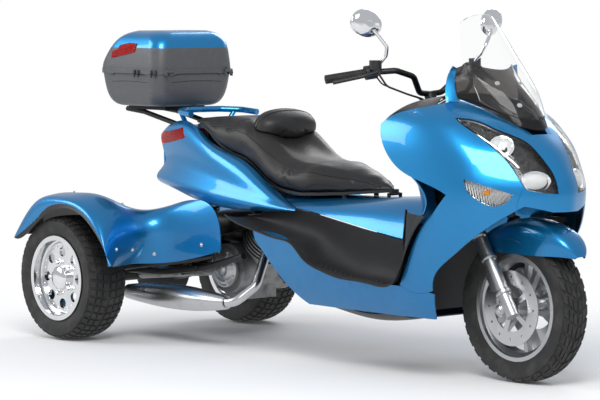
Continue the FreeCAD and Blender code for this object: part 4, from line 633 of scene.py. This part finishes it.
@dataclass
class Wheel:
    """Tyre with moulded tread blocks."""

    name: str
    body: str
    centre: Vector
    radius: float
    width: float
    bead: float
    blocks: int
    skew: float
    depth: float = 0.005
    block_share: float = 0.74
    draft: float = 0.0014

    def crown(self, out: float) -> float:
        """Radius of the tyre's outline at a share of its half width."""
        rise = self.radius - self.bead
        for (a, low), (b, high) in zip(CROWN_SHARES, CROWN_SHARES[1:]):
            if out <= b:
                return self.bead + rise * (low + (high - low) * ((out - a) / (b - a)))
        return self.bead + rise * CROWN_SHARES[-1][1]

    def build(self) -> bpy.types.Object:
        """Make the carcass, with blocks raised between its grooves.

        Returns:
            The finished tyre.
        """
        half = self.width / 2
        rise = self.radius - self.bead
        tread = [(out * half, self.crown(abs(out)) - self.depth) for out in LANE_SHARES]
        left = [(across * half, self.bead + rise * up) for across, up in FLANK_SHARES]
        right = [(-across, height) for across, height in left]
        section = right + tread + left[::-1]
        pitch = math.tau / self.blocks
        rows = []
        for step in range(2 * self.blocks):
            base = step // 2 * pitch + (self.block_share * pitch if step % 2 else 0.0)
            row = []
            for across, reach in section:
                angle = base + self.skew * abs(across) / half * pitch
                row.append(self.centre + Vector((reach * math.cos(angle), across,
                                                 reach * math.sin(angle))))
            rows.append(row)
        shape = Shape("tread_" + self.name)
        raised = []
        for index, face in enumerate(shape.rows(rows, along=True)):
            step, column = divmod(index, len(section) - 1)
            lane = column - len(right)
            if 0 <= lane < len(tread) - 1 and lane % 2 == 0 and step % 2 == 0:
                raised.append(face)
        bmesh.ops.recalc_face_normals(shape.bm, faces=shape.bm.faces)
        outward = raised[0].normal.dot(raised[0].calc_center_median() - self.centre) > 0
        bmesh.ops.inset_individual(shape.bm, faces=raised, thickness=self.draft,
                                   depth=self.depth if outward else -self.depth)
        piece = shape.done(TYRE_RUBBER, self.body, crease=28.0)
        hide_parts(self.name)
        return piece


@dataclass
class RearTrim:
    """Chrome cap, lug nuts and rivets of one rear wheel."""

    side: Side
    centre: Vector
    face: float = 0.0515
    nose: float = 0.0655
    nuts: int = 5
    nut_circle: float = 0.064
    nut_sink: float = 0.004
    rivets: int = 24
    rivet_circle: float = 0.124
    rivet_sink: float = 0.0025

    def build(self) -> None:
        """Place the trim on the outer face of the rim's disc."""
        out = self.side.out
        body = "rear_wheel_" + self.side.word
        cap = Shape("hub_cap", self.side)
        cap.lathe(((44, -3), (46, 2), (40, 7.5), (26, 11.2), (10, 12.5)),
                  facing(self.centre + out * self.nose, out), 40)
        cap.done(CHROME, body, bevel=0.0008)
        nuts = Shape("lug_nuts", self.side)
        for x, z in circle(self.nuts, self.nut_circle, 0.5):
            foot = self.centre + out * (self.face - self.nut_sink) + Vector((x, 0.0, z))
            place = facing(foot, out)
            nuts.lathe(((12.5, 0), (12.5, 5.5), (11, 6.5)), place, 20)
            nuts.lathe(((9.5, 6), (9.5, 19), (7.8, 21.5), (4, 22.5)), place, 6)
        nuts.done(CHROME, body, bevel=0.0005)
        rivets = Shape("rim_rivets", self.side)
        for x, z in circle(self.rivets, self.rivet_circle):
            foot = self.centre + out * (self.face - self.rivet_sink) + Vector((x, 0.0, z))
            rivets.lathe(((4.2, 0), (3.8, 2.6), (2, 3.8)), facing(foot, out), 10)
        rivets.done(WHEEL_CHROME, body)


@dataclass
class Pad:
    """Stuffed vinyl piece swollen by a cloth simulation."""

    node: str
    body: str
    voxel: float
    cap: float
    fill: float
    pressure: float = 4.0
    frames: int = 12
    shrink_share: float = 0.6

    def build(self) -> bpy.types.Object:
        """Swell a copy of the closed solid and cap how far each point moves.

        Returns:
            The finished pad.
        """
        shape = Shape("padded_" + self.node)
        shape.copy_node(self.node)
        pad = shape.piece()
        remesh = pad.modifiers.new("voxels", "REMESH")
        remesh.mode, remesh.voxel_size = "VOXEL", self.voxel
        ease = pad.modifiers.new("ease", "SMOOTH")
        ease.factor, ease.iterations = 0.5, 4
        settle(pad)
        start = [v.co - v.normal * self.cap * self.shrink_share for v in pad.data.vertices]
        for vert, place in zip(pad.data.vertices, start):
            vert.co = place
        self.swell(pad, start)
        finer = pad.modifiers.new("finer", "SUBSURF")
        finer.levels = finer.render_levels = 1
        settle(pad)
        pad.data.materials.clear()
        pad.data.materials.append(SEAT_VINYL.material())
        round_off(pad, 60.0)
        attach(pad, self.body)
        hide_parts(self.node)
        return pad

    def swell(self, pad: bpy.types.Object, start: list[Vector]) -> None:
        """Run the simulation and keep the capped result."""
        cloth = pad.modifiers.new("cloth", "CLOTH")
        cloth.settings.use_pressure = True
        cloth.settings.uniform_pressure_force = self.pressure
        cloth.settings.effector_weights.gravity = 0.0
        cloth.settings.quality = 3
        cloth.point_cache.frame_start, cloth.point_cache.frame_end = 1, self.frames
        scene = bpy.context.scene
        for step in range(1, self.frames + 1):
            scene.frame_set(step)
        graph = bpy.context.evaluated_depsgraph_get()
        moved = [v.co.copy() for v in pad.evaluated_get(graph).data.vertices]
        pad.modifiers.clear()
        scene.frame_set(1)
        for vert, old, new in zip(pad.data.vertices, start, moved):
            step_out = new - old
            if step_out.length > self.cap:
                step_out *= self.cap / step_out.length
            vert.co = old + step_out


@dataclass
class SeatSeams:
    """Piping and sewn seams laid on the finished pads."""

    cushion: bpy.types.Object
    pad: bpy.types.Object
    piping: Points = (
        (-1690, -128, 850), (-1600, -172, 862), (-1480, -177, 868), (-1330, -178, 835),
        (-1200, -178, 770), (-1080, -177, 722), (-980, -171, 712), (-880, -130, 702),
        (-780, -84, 682), (-700, -44, 664))
    per_span: int = 10
    piping_radius: float = 0.0022
    piping_lift: float = 0.0006
    cross: Point = (-1290, 150, 900)
    cross_step: int = 12
    cross_bow_share: float = 12 / 170
    cross_radius: float = 0.0016
    cross_lift: float = 0.0002
    rim_half: Point = (0.03, 0.150, 0.076)
    rim_swell: float = 1.25
    rim_steps: int = 72
    rim_radius: float = 0.0018
    rim_lift: float = 0.0004

    def laid(self, target: bpy.types.Object, points: Sequence[Vector], lift: float) -> list[Vector]:
        """Points moved onto the pad's surface."""
        result = []
        for point in points:
            _, place, normal, _ = target.closest_point_on_mesh(point)
            result.append(place + normal * lift)
        return result

    def build(self) -> None:
        """Side piping both ways, one cross seam and the rim of the lumbar pad."""
        cord = Shape("seat_piping")
        for side in Side:
            run = [spot(*point, side) for point in self.piping]
            fine = [first.lerp(last, step / self.per_span) for first, last in zip(run, run[1:])
                    for step in range(self.per_span)]
            cord.tube(self.laid(self.cushion, fine + run[-1:], self.piping_lift),
                      self.piping_radius)
        along, half, up = self.cross
        cross = [spot(along - self.cross_bow_share * abs(y), y, up)
                 for y in range(-half, half + 1, self.cross_step)]
        cord.tube(self.laid(self.cushion, cross, self.cross_lift), self.cross_radius)
        cord.done(VINYL_SEAM, "seat")
        along, across, up = self.rim_half
        middle = middle_of("backrest_pad")
        ring = [middle + Vector((along * sin, across * cos, up * sin)) * self.rim_swell
                for cos, sin in circle(self.rim_steps)]
        laid = self.laid(self.pad, ring, self.rim_lift)
        rim = Shape("lumbar_seam")
        rim.tube(laid + laid[:2], self.rim_radius)
        rim.done(VINYL_SEAM, "seat")


@dataclass
class Lamp:
    """Inside of one headlight and one wrapped signal."""

    side: Side
    inward: Point = (-0.72, 0.42, -0.50)
    housing_sink: float = 0.022
    housing_swell: float = 1.02
    bowl: tuple[Point, Point] = ((46, -160, 834), (0.63, -0.51, 0.59))
    eye: tuple[Point, Point] = ((150, -100, 716), (0.86, -0.44, 0.25))
    eye_shares: tuple[float, float] = (1.25, 0.86)
    strip: Points = ((-60, -222, 898), (-10, -206, 873), (42, -184, 838),
                                (92, -160, 795), (120, -146, 768))
    strip_sink: float = 0.007
    strip_radius: float = 0.0042
    signal_inward: Point = (-0.70, 0.70, 0.0)
    signal_sink: float = 0.012
    bulb: tuple[Point, Point] = ((52, -236, 680), (0.70, -0.70, 0.05))

    def way(self, aim: Point) -> Vector:
        """Direction of the right lamp turned to this side."""
        return Vector((aim[0], -aim[1] * self.side.value, aim[2])).normalized()

    def seat(self, place: Point, aim: Point) -> Matrix:
        """Place and direction of the right lamp's piece, turned to this side."""
        return facing(spot(*place, self.side), self.way(aim))

    def build(self) -> None:
        """Make the housing, bowl, projector, strip, reflector and bulb."""
        word = self.side.word
        housing = Shape("lamp_housing", self.side)
        inward = self.way(self.inward)
        housing.copy_node("headlight_" + word, inward * self.housing_sink, self.housing_swell)
        housing.done(LAMP_MESH, crease=30.0)
        bowl = Shape("lamp_bowl", self.side)
        place = self.seat(*self.bowl)
        bowl.lathe(((10, -11), (26, -8), (36, -1), (40, 4), (43, 4.5), (44, 1), (40, -6),
                    (28, -14), (11, -17)), place, 40)
        bowl.lathe(((4, -13), (11, -11), (12, -2), (8, 3), (3, 4.5)), place, 20)
        bowl.done(CHROME)
        oval = self.seat(*self.eye) @ Matrix.Diagonal((*self.eye_shares, 1.0, 1.0))
        ring = Shape("projector_ring", self.side)
        ring.lathe(((30, -16), (40, -8), (44, 6), (41, 10), (36, 4), (29, -12)), oval, 48)
        ring.done(CHROME)
        glass = Shape("projector_lens", self.side)
        glass.lathe(((34, -10), (35, 0), (29, 9), (16, 15), (4, 17)), oval, 40)
        glass.done(WHITE_LENS)
        strip = Shape("lamp_strip", self.side)
        strip.tube([spot(*point, self.side) + inward * self.strip_sink for point in self.strip],
                   self.strip_radius, flat=0.6)
        strip.done(CHROME)
        back = Shape("signal_reflector", self.side)
        back.copy_node("turn_signal_" + word, self.way(self.signal_inward) * self.signal_sink)
        back.done(RIBBED_CHROME)
        bulb = Shape("signal_bulb", self.side)
        bulb.lathe(((8, -10), (11, -2), (9, 4), (4, 6.5)), self.seat(*self.bulb), 20)
        bulb.done(AMBER)


@dataclass
class Fasteners:
    """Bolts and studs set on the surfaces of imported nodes."""

    bolts: tuple[tuple[str, Point, float], ...] = (
        ("rear_fender_*", (-1709, -498, 380), 5.5),
        ("rear_fender_*", (-1727, -406, 372), 5.5),
        ("rear_fender_*", (-1714, -311, 351), 5.0),
        ("rear_fender_*", (-1520, -233, 395), 5.5),
        ("rear_fender_*", (-2060, -440, 602), 6.0),
        ("rear_fender_*", (-1850, -330, 600), 6.0),
        ("screen_garnish", (-80, -58, 1049), 6.0),
        ("screen_garnish", (14, -41, 974), 6.0),
    )
    stud_rows: tuple[tuple[Point, Point], ...] = (
        ((-760, -296, 400), (-330, -288, 355)),
        ((-760, -270, 400), (-330, -262, 355)),
    )
    studs: int = 17
    level: float = 0.6

    def head(self, shape: Shape, place: Vector, normal: Vector, radius: float) -> None:
        """Washer and domed hexagon head."""
        foot = facing(place - normal * MM, normal)
        shape.lathe(((radius * 1.5, 0), (radius * 1.5, 1.8), (radius * 1.35, 2.4)), foot, 20)
        shape.lathe(((radius, 2), (radius, radius * 0.8), (radius * 0.75, radius * 1.05),
                     (radius * 0.3, radius * 1.12)), foot, 6)

    def build(self) -> None:
        """Set bolts on both sides, then studs where the floor is level."""
        for side in Side:
            bolts = Shape("bolts", side)
            for node, point, radius in self.bolts:
                place, normal = on_surface(node.replace("*", side.word), spot(*point, side))
                self.head(bolts, place, normal, radius)
            bolts.done(SATIN_STEEL, bevel=0.0003)
            studs = Shape("floor_studs", side)
            for first, last in self.stud_rows:
                for step in range(self.studs):
                    guess = spot(*first, side).lerp(spot(*last, side), step / (self.studs - 1))
                    place, normal = on_surface("floorboard_" + side.word, guess)
                    if normal.z >= self.level:
                        studs.lathe(((5.5, -1), (5.2, 1.4), (3.6, 2.6), (1.2, 3)),
                                    facing(place, normal), 12)
            studs.done(MAT_PLASTIC)


@dataclass
class Ridges:
    """Raised creases laid on the front fender."""

    lines: tuple[Points, ...] = (
        ((-49, -72, 507), (11, -73, 508), (60, -74, 495), (103, -74, 472)),
        ((35, -66, 551), (85, -70, 543), (129, -71, 526), (165, -70, 500), (189, -67, 473)),
    )
    thick: float = 0.0022
    per_span: int = 6

    def build(self) -> None:
        """Lay every line on both sides."""
        for side in Side:
            shape = Shape("fender_creases", side)
            for points in self.lines:
                path = []
                for first, last in zip(points, points[1:]):
                    for step in range(self.per_span):
                        share = step / self.per_span
                        guess = spot(*first, side).lerp(spot(*last, side), share)
                        place, normal = on_surface("front_fender", guess)
                        path.append(place - normal * self.thick * 0.35)
                shape.tube(path, self.thick, flat=0.8)
            shape.done(BLUE, "steering", crease=60.0)


@dataclass
class TopBoxTrim:
    """Red corner reflectors, side lugs and seams of the top box."""

    outline: tuple[tuple[Point, Point], ...] = (
        ((-1985, -200, 1130), (-1976, -197, 1166)),
        ((-2030, -202, 1122), (-2022, -196, 1168)),
        ((-2080, -202, 1114), (-2078, -195, 1158)),
        ((-2125, -200, 1106), (-2128, -190, 1144)),
        ((-2170, -192, 1100), (-2166, -180, 1128)),
        ((-2204, -166, 1096), (-2196, -156, 1118)))
    spans: int = 6
    lens_lift: float = 0.0035
    lugs: Points = ((-1960, -205, 1046), (-1856, -205, 1046))
    lug_shift: float = 0.012
    pin_lift: float = 0.004
    pin_radius: float = 0.004
    pin_half: float = 0.014
    seams: tuple[float, ...] = (1010, 1036)
    seam_middle: float = -2023
    seam_half: tuple[float, float] = (230, 225)
    seam_sink: float = 0.0004
    seam_radius: float = 0.0014
    seam_steps: int = 96

    def reflector(self, side: Side) -> None:
        """Corner lens that wraps from the side to the rear."""
        rows = []
        for low, high in self.outline:
            row = []
            for step in range(self.spans + 1):
                aim = spot(*low, side).lerp(spot(*high, side), step / self.spans)
                found = [on_surface(node, aim) for node in ("box_lid_shell", "box_lid_cover")]
                place, normal = min(found, key=lambda pair: (pair[0] - aim).length)
                row.append(place + normal * self.lens_lift)
            rows.append(row)
        shape = Shape("box_reflector", side)
        shape.rows(rows)
        shape.done(RED_LENS, "box_lid", wall=0.003, bevel=0.0006)

    def lug(self, shape: Shape, centre: Vector) -> None:
        """Two small lugs on the base's band, each with a pin."""
        for shift in (-self.lug_shift, self.lug_shift):
            place, normal = on_surface("box_base", centre + Vector((shift, 0.0, 0.0)))
            shape.lathe(((5.5, -2), (5.5, 6), (4, 9), (1.5, 9.5)), facing(place, normal), 8)
            shape.tube([place + normal * self.pin_lift + Vector((0.0, 0.0, k * self.pin_half / 2))
                        for k in range(-2, 3)], self.pin_radius)

    def build(self) -> None:
        """Make the trim for both sides."""
        lugs = Shape("box_hinge_lugs")
        for side in Side:
            self.reflector(side)
            for point in self.lugs:
                self.lug(lugs, spot(*point, side))
        lugs.done(BLACK_PLASTIC, bevel=0.0006)
        seam = Shape("box_seams")
        ring = circle(self.seam_steps)
        half_long, half_wide = self.seam_half
        for height in self.seams:
            path = []
            for cos, sin in ring + ring[:1]:
                guess = spot(self.seam_middle + half_long * cos, half_wide * sin, height)
                place, normal = on_surface("box_base", guess)
                path.append(place - normal * self.seam_sink)
            seam.tube(path, self.seam_radius, 6)
        seam.done(BLACK_PLASTIC)


@dataclass
class MirrorGlass:
    """Silvered glass in the rear face of one mirror."""

    side: Side
    centre: Point = (-530, -312, 1258)
    oval_shares: tuple[float, float] = (0.98, 0.78)

    def build(self) -> None:
        """Lay an oval disc on the rear face."""
        turn = facing(*on_surface("mirror_" + self.side.word, spot(*self.centre, self.side)))
        shape = Shape("mirror_glass", self.side)
        shape.lathe(((51, -1), (52.5, 0.6), (51.5, 1.6), (30, 1.8), (4, 1.9)),
                    turn @ Matrix.Diagonal((*self.oval_shares, 1.0, 1.0)), 48)
        shape.done(MIRROR_SILVER, "steering", crease=20.0)


@dataclass
class DamperSprings:
    """Coil springs round the two rear dampers."""

    low: Point = (-1699.9, -166.0, 279.0)
    high: Point = (-1500.1, -162.0, 617.0)
    radius: float = 0.0335
    wire: float = 0.0042
    turns: int = 8
    per_turn: int = 16
    start_share: float = 0.2
    length_share: float = 0.66

    def build(self) -> None:
        """Wind one spring a side."""
        for side in Side:
            low, high = spot(*self.low, side), spot(*self.high, side)
            turn = facing(low, (high - low).normalized())
            reach = (high - low).length
            path = []
            for step in range(self.turns * self.per_turn + 1):
                share = step / (self.turns * self.per_turn)
                angle = math.tau * self.turns * share
                height = reach * (self.start_share + self.length_share * share)
                path.append(turn @ Vector((self.radius * math.cos(angle),
                                           self.radius * math.sin(angle), height)))
            shape = Shape("damper_spring", side)
            shape.tube(path, self.wire)
            shape.done(SATIN_STEEL, crease=60.0)


@dataclass
class ForkTrim:
    """Seals, clamp rings and axle nuts of the fork, in millimetres."""

    foot: Point = (22.0, -98.0, 277.8)
    rake: float = math.radians(32.0)
    radius: float = 24.2
    rings: Profile = ((40, 20), (180, 14), (268, 26))
    screw_look: Point = (0.85, 0.0, 0.53)
    seal: float = 321.5
    nut: Point = (0, -140, 264)

    def build(self) -> None:
        """Fit rings, a seal and a nut on both legs."""
        up = Vector((-math.sin(self.rake), 0.0, math.cos(self.rake)))
        r = self.radius
        for side in Side:
            leg = spot(*self.foot, side)
            rings = Shape("fork_rings", side)
            for reach, tall in self.rings:
                rings.lathe(((r - 3, 0), (r + 3, 1), (r + 4.2, 4), (r + 4.2, tall - 4),
                             (r + 3, tall - 1), (r - 3, tall)), facing(leg + up * reach * MM, up),
                            32)
                screw = leg + up * (reach + tall / 2) * MM + Vector(((r + 2) * MM, 0.0, 0.0))
                rings.lathe(((5.5, -2), (5.5, 7), (3.5, 8.5)),
                            facing(screw, Vector(self.screw_look)), 6)
            rings.done(ALLOY, "steering", bevel=0.0005)
            seal = Shape("fork_seal", side)
            seal.lathe(((r - 5, 0), (r + 1.6, 0), (r + 2.2, 4), (r + 0.6, 10), (r - 3, 14),
                        (r - 6.8, 14.5)), facing(leg + up * self.seal * MM, up), 32)
            seal.done(GRIP_RUBBER, "steering")
            nut = Shape("axle_nut", side)
            place = facing(on_surface("fork", spot(*self.nut, side))[0], side.out)
            nut.lathe(((17, -4), (17, 1), (15.5, 2)), place, 28)
            nut.lathe(((13.5, 0), (13.5, 6), (11.5, 7.8), (5, 8)), place, 6)
            nut.done(SATIN_STEEL, "steering", bevel=0.0006)


@dataclass
class UnderTubes:
    """Black tubes and a splash guard between the rear axle, the engine and the floor."""

    radius: float = 0.013
    bend_shares: Point = (0.18, 0.06, 0.03)
    runs: tuple[tuple[float, Points], ...] = (
        (1.0, ((-2040, -205, 262), (-1800, -200, 268), (-1560, -176, 300), (-1340, -170, 360))),
        (0.8, ((-2030, -300, 262), (-1840, -296, 296), (-1600, -230, 330), (-1500, -190, 350))),
        (0.8, ((-1900, -200, 268), (-1820, -196, 360), (-1760, -190, 470))),
    )
    cross_share: float = 0.9
    cross_bars: Profile = ((-1780, 270), (-1600, 294))
    cross_half: float = 196
    cross_dip: float = 16
    guard: Profile = ((-1860, 300), (-1760, 372), (-1640, 420),
                                              (-1500, 440), (-1400, 470))
    guard_half: int = 170
    guard_dip: float = 18

    def bar(self, shape: Shape, bends: Sequence[Vector], radius: float) -> None:
        """Tube through points, rounded at its bends."""
        path = [bends[0]]
        end, near, far = self.bend_shares
        for before, here, after in zip(bends, bends[1:], bends[2:]):
            path += [here.lerp(before, end), here.lerp(before, near).lerp(after, far),
                     here.lerp(after, end)]
        path.append(bends[-1])
        shape.tube(path, radius, 12)

    def build(self) -> None:
        """Lay the tubes, then a splash guard."""
        shape = Shape("rear_subframe")
        for side in Side:
            for share, points in self.runs:
                self.bar(shape, [spot(*point, side) for point in points], self.radius * share)
        half = self.cross_half
        for along, up in self.cross_bars:
            self.bar(shape, [spot(along, -half, up), spot(along, 0, up - self.cross_dip),
                             spot(along, half, up)], self.radius * self.cross_share)
        shape.done(BLACK_PLASTIC, crease=60.0)
        guard = Shape("splash_guard")
        half = self.guard_half
        guard.rows([[spot(along, across, up - self.guard_dip * (across / half) ** 2)
                     for across in range(-half, half + 1, half // 5)] for along, up in self.guard])
        guard.done(BLACK_PLASTIC, wall=0.003, smooth=1)


@dataclass
class EngineDetail:
    """Side cover, air box, battery box and seat shrouds round the engine."""

    centre: Point = (-1500.0, -133.8, 300.0)
    bolts: int = 8
    bolt_circle: float = 0.066
    ribs: int = 6
    rib: Profile = ((0.030, 0.0165), (0.052, 0.0135), (0.060, 0.008))
    levels: int = 12
    sides: int = 28
    least_share: float = 0.02
    # Name, centre, half sizes in metres and roundness of each box.
    boxes: tuple[tuple[str, Point, Point, float], ...] = (
        ("air_box", (-1590, 40, 452), (0.105, 0.125, 0.062), 0.55),
        ("battery_box", (-1700, -70, 352), (0.085, 0.095, 0.050), 0.5),
    )
    # Distance along, lower edge and upper edge.
    shroud: Points = ((-1800, 735, 800), (-1740, 730, 826), (-1680, 722, 836),
                                 (-1600, 700, 836), (-1520, 680, 790))
    shroud_across: float = -107.5

    def cover(self) -> None:
        """Stepped cover with a ring of bolts and raised ribs on the crankcase."""
        out, centre = Side.RIGHT.out, spot(*self.centre)
        shape = Shape("engine_cover")
        shape.lathe(((74, -3), (74, 3), (69, 6), (62, 6.5), (58, 11), (50, 15.5), (36, 18),
                     (31, 15.5), (22, 15.5), (18, 20), (6, 21)), facing(centre, out), 56)
        for x, z in circle(self.bolts, self.bolt_circle, 0.5):
            shape.lathe(((5.5, 0), (5.5, 5), (4.2, 6.5)),
                        facing(centre + Vector((x, -0.005, z)), out), 6)
        for x, z in circle(self.ribs):
            ray = Vector((x, 0.0, z))
            shape.tube([centre + ray * reach + out * lift for reach, lift in self.rib], 0.0026)
        shape.done(ALLOY, bevel=0.0006)

    def box(self, name: str, centre: Vector, half: Vector, power: float) -> None:
        """Rounded moulded box from stacked sections."""
        def bulge(number: float) -> float:
            """Power of a number with its sign kept."""
            return math.copysign(abs(number) ** power, number)

        rows = []
        for level in range(self.levels + 1):
            turn = math.pi * (level / self.levels - 0.5)
            tall = half.z * bulge(math.sin(turn))
            wide = max(bulge(math.cos(turn)), self.least_share)
            rows.append([centre + Vector((half.x * wide * bulge(cos), half.y * wide * bulge(sin),
                                          tall)) for cos, sin in circle(self.sides)])
        shape = Shape(name)
        shape.rows(rows, around=True, caps=True)
        shape.done(BLACK_PLASTIC, crease=50.0)

    def build(self) -> None:
        """Make the cover, the two boxes and the black side sheets under the seat's rear."""
        self.cover()
        for name, centre, half, power in self.boxes:
            self.box(name, spot(*centre), Vector(half), power)
        for side in Side:
            shape = Shape("seat_shroud", side)
            shape.rows([[spot(along, self.shroud_across, low + (high - low) * k / 4, side)
                         for k in range(5)] for along, low, high in self.shroud])
            shape.done(BLACK_PLASTIC, wall=0.0025)


@dataclass
class Studio:
    """Pale floor, soft lamps and the camera of the photograph."""

    lens: float = 172.65
    sensor: float = 36.0
    place: Point = (8.140, -7.163, 1.371)
    azimuth: float = 49.25
    elevation: float = 4.15
    ground: float = 16.0
    fade_from: float = 0.9
    fade_to: float = 3.0
    floor_colour: Colour = (0.93, 0.93, 0.93)
    sky: Colour = (0.92, 0.95, 1.0)
    sky_strength: float = 0.55
    target: Point = (0.0, 0.0, 0.6)
    # Name, place, size and power of each lamp.
    lamps: tuple[tuple[str, Point, float, float], ...] = (
        ("key", (3.6, -3.2, 4.4), 2.6, 210.0),
        ("fill", (-4.2, -4.2, 3.0), 3.0, 120.0),
        ("rear", (-2.5, 4.5, 3.6), 3.0, 110.0),
    )

    def stand(self, data: bpy.types.ID, place: Point, look: Vector) -> bpy.types.Object:
        """Put a camera or lamp at a place, looking along a direction."""
        made = bpy.data.objects.new(data.name, data)
        bpy.context.scene.collection.objects.link(made)
        made.location = place
        made.rotation_euler = look.to_track_quat("-Z", "Y").to_euler()
        return made

    def camera(self) -> None:
        """Create the camera at the photograph's viewing angle."""
        turn, lift = math.radians(self.azimuth), math.radians(self.elevation)
        look = Vector((-math.sin(turn) * math.cos(lift), math.cos(turn) * math.cos(lift),
                       -math.sin(lift)))
        data = bpy.data.cameras.new("camera")
        data.lens, data.sensor_width, data.clip_end = self.lens, self.sensor, 100.0
        bpy.context.scene.camera = self.stand(data, self.place, look)

    def pale(self) -> bpy.types.Material:
        """Floor material: pale near the object, and fading to white far away."""
        graph = Graph(bpy.data.materials.new("pale_floor"))
        shaded = tuple(c * 0.96 for c in self.floor_colour)
        tone = graph.blend(graph.noise(0.7, 2.0) * 0.06, self.floor_colour, shaded)
        rough = graph.node("ShaderNodeBsdfDiffuse", inputs={"Color": tone})
        glow = graph.node("ShaderNodeEmission", inputs={"Color": WHITE, "Strength": 0.8})
        glossy = graph.node("ShaderNodeLightPath", output="Is Glossy Ray")
        both = graph.node("ShaderNodeMixShader", inputs={0: glossy * 0.6, 1: rough, 2: glow})
        seen = graph.node("ShaderNodeLightPath", output="Is Camera Ray")
        along, across, _ = graph.parts(graph.place())
        away = (along * along + across * across) ** 0.5
        far = away.band(self.fade_from, self.fade_to) * seen
        white = graph.node("ShaderNodeEmission", inputs={"Color": WHITE})
        faded = graph.node("ShaderNodeMixShader", inputs={0: far, 1: both, 2: white})
        graph.node("ShaderNodeOutputMaterial", inputs={"Surface": faded})
        return graph.owner

    def floor(self) -> None:
        """Pale ground that fades into the background."""
        bpy.ops.object.select_all(action="DESELECT")
        bpy.ops.mesh.primitive_circle_add(vertices=96, radius=self.ground, fill_type="NGON",
                                          location=(0.0, 0.0, 0.0))
        ground = bpy.context.active_object
        ground.name = "floor"
        ground.data.materials.append(self.pale())

    def world(self) -> None:
        """White backdrop to the camera, softer light to the object."""
        graph = Graph(bpy.data.worlds.new("studio"))
        show = graph.node("ShaderNodeBackground", inputs={"Color": WHITE})
        light = graph.node("ShaderNodeBackground", inputs={"Color": self.sky,
                                                           "Strength": self.sky_strength})
        seen = graph.node("ShaderNodeLightPath", output="Is Camera Ray")
        through = graph.node("ShaderNodeLightPath", output="Is Transmission Ray")
        mix = graph.node("ShaderNodeMixShader", inputs={0: seen.larger(through), 1: light, 2: show})
        graph.node("ShaderNodeOutputWorld", inputs={"Surface": mix})
        bpy.context.scene.world = graph.owner

    def build(self) -> None:
        """Set the whole studio up."""
        bpy.context.scene.view_settings.view_transform = "Standard"
        self.camera()
        self.world()
        self.floor()
        for name, place, size, power in self.lamps:
            data = bpy.data.lights.new(name, "AREA")
            data.shape, data.size, data.energy = "SQUARE", size, power
            self.stand(data, place, Vector(self.target) - Vector(place))


def main() -> None:
    """Build the scene."""
    logging.basicConfig(level=logging.INFO, format="%(message)s")
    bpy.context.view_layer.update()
    Studio().build()
    dress_nodes()
    Wheel("front_tyre", "front_wheel", spot(0, 0, 264), radius=0.264, width=0.120, bead=0.181,
          blocks=34, skew=0.9).build()
    for side in Side:
        centre = spot(-2060, -450, 245, side)
        Wheel("rear_tyre_" + side.word, "rear_wheel_" + side.word, centre, radius=0.245,
              width=0.180, bead=0.155, blocks=46, skew=0.5).build()
        RearTrim(side, centre).build()
        Lamp(side).build()
        MirrorGlass(side).build()
    LOG.info("wheels, lamps and mirrors done")
    cushion = Pad("seat_cushion", "seat", voxel=0.006, cap=0.007, fill=0.8).build()
    lumbar = Pad("backrest_pad", "seat", voxel=0.005, cap=0.010, fill=0.9).build()
    SeatSeams(cushion, lumbar).build()
    LOG.info("seat done")
    for part in (Fasteners(), Ridges(), TopBoxTrim(), DamperSprings(), ForkTrim(), UnderTubes(),
                 EngineDetail()):
        part.build()
        LOG.info("%s done", type(part).__name__)


if __name__ == "__main__":
    main()
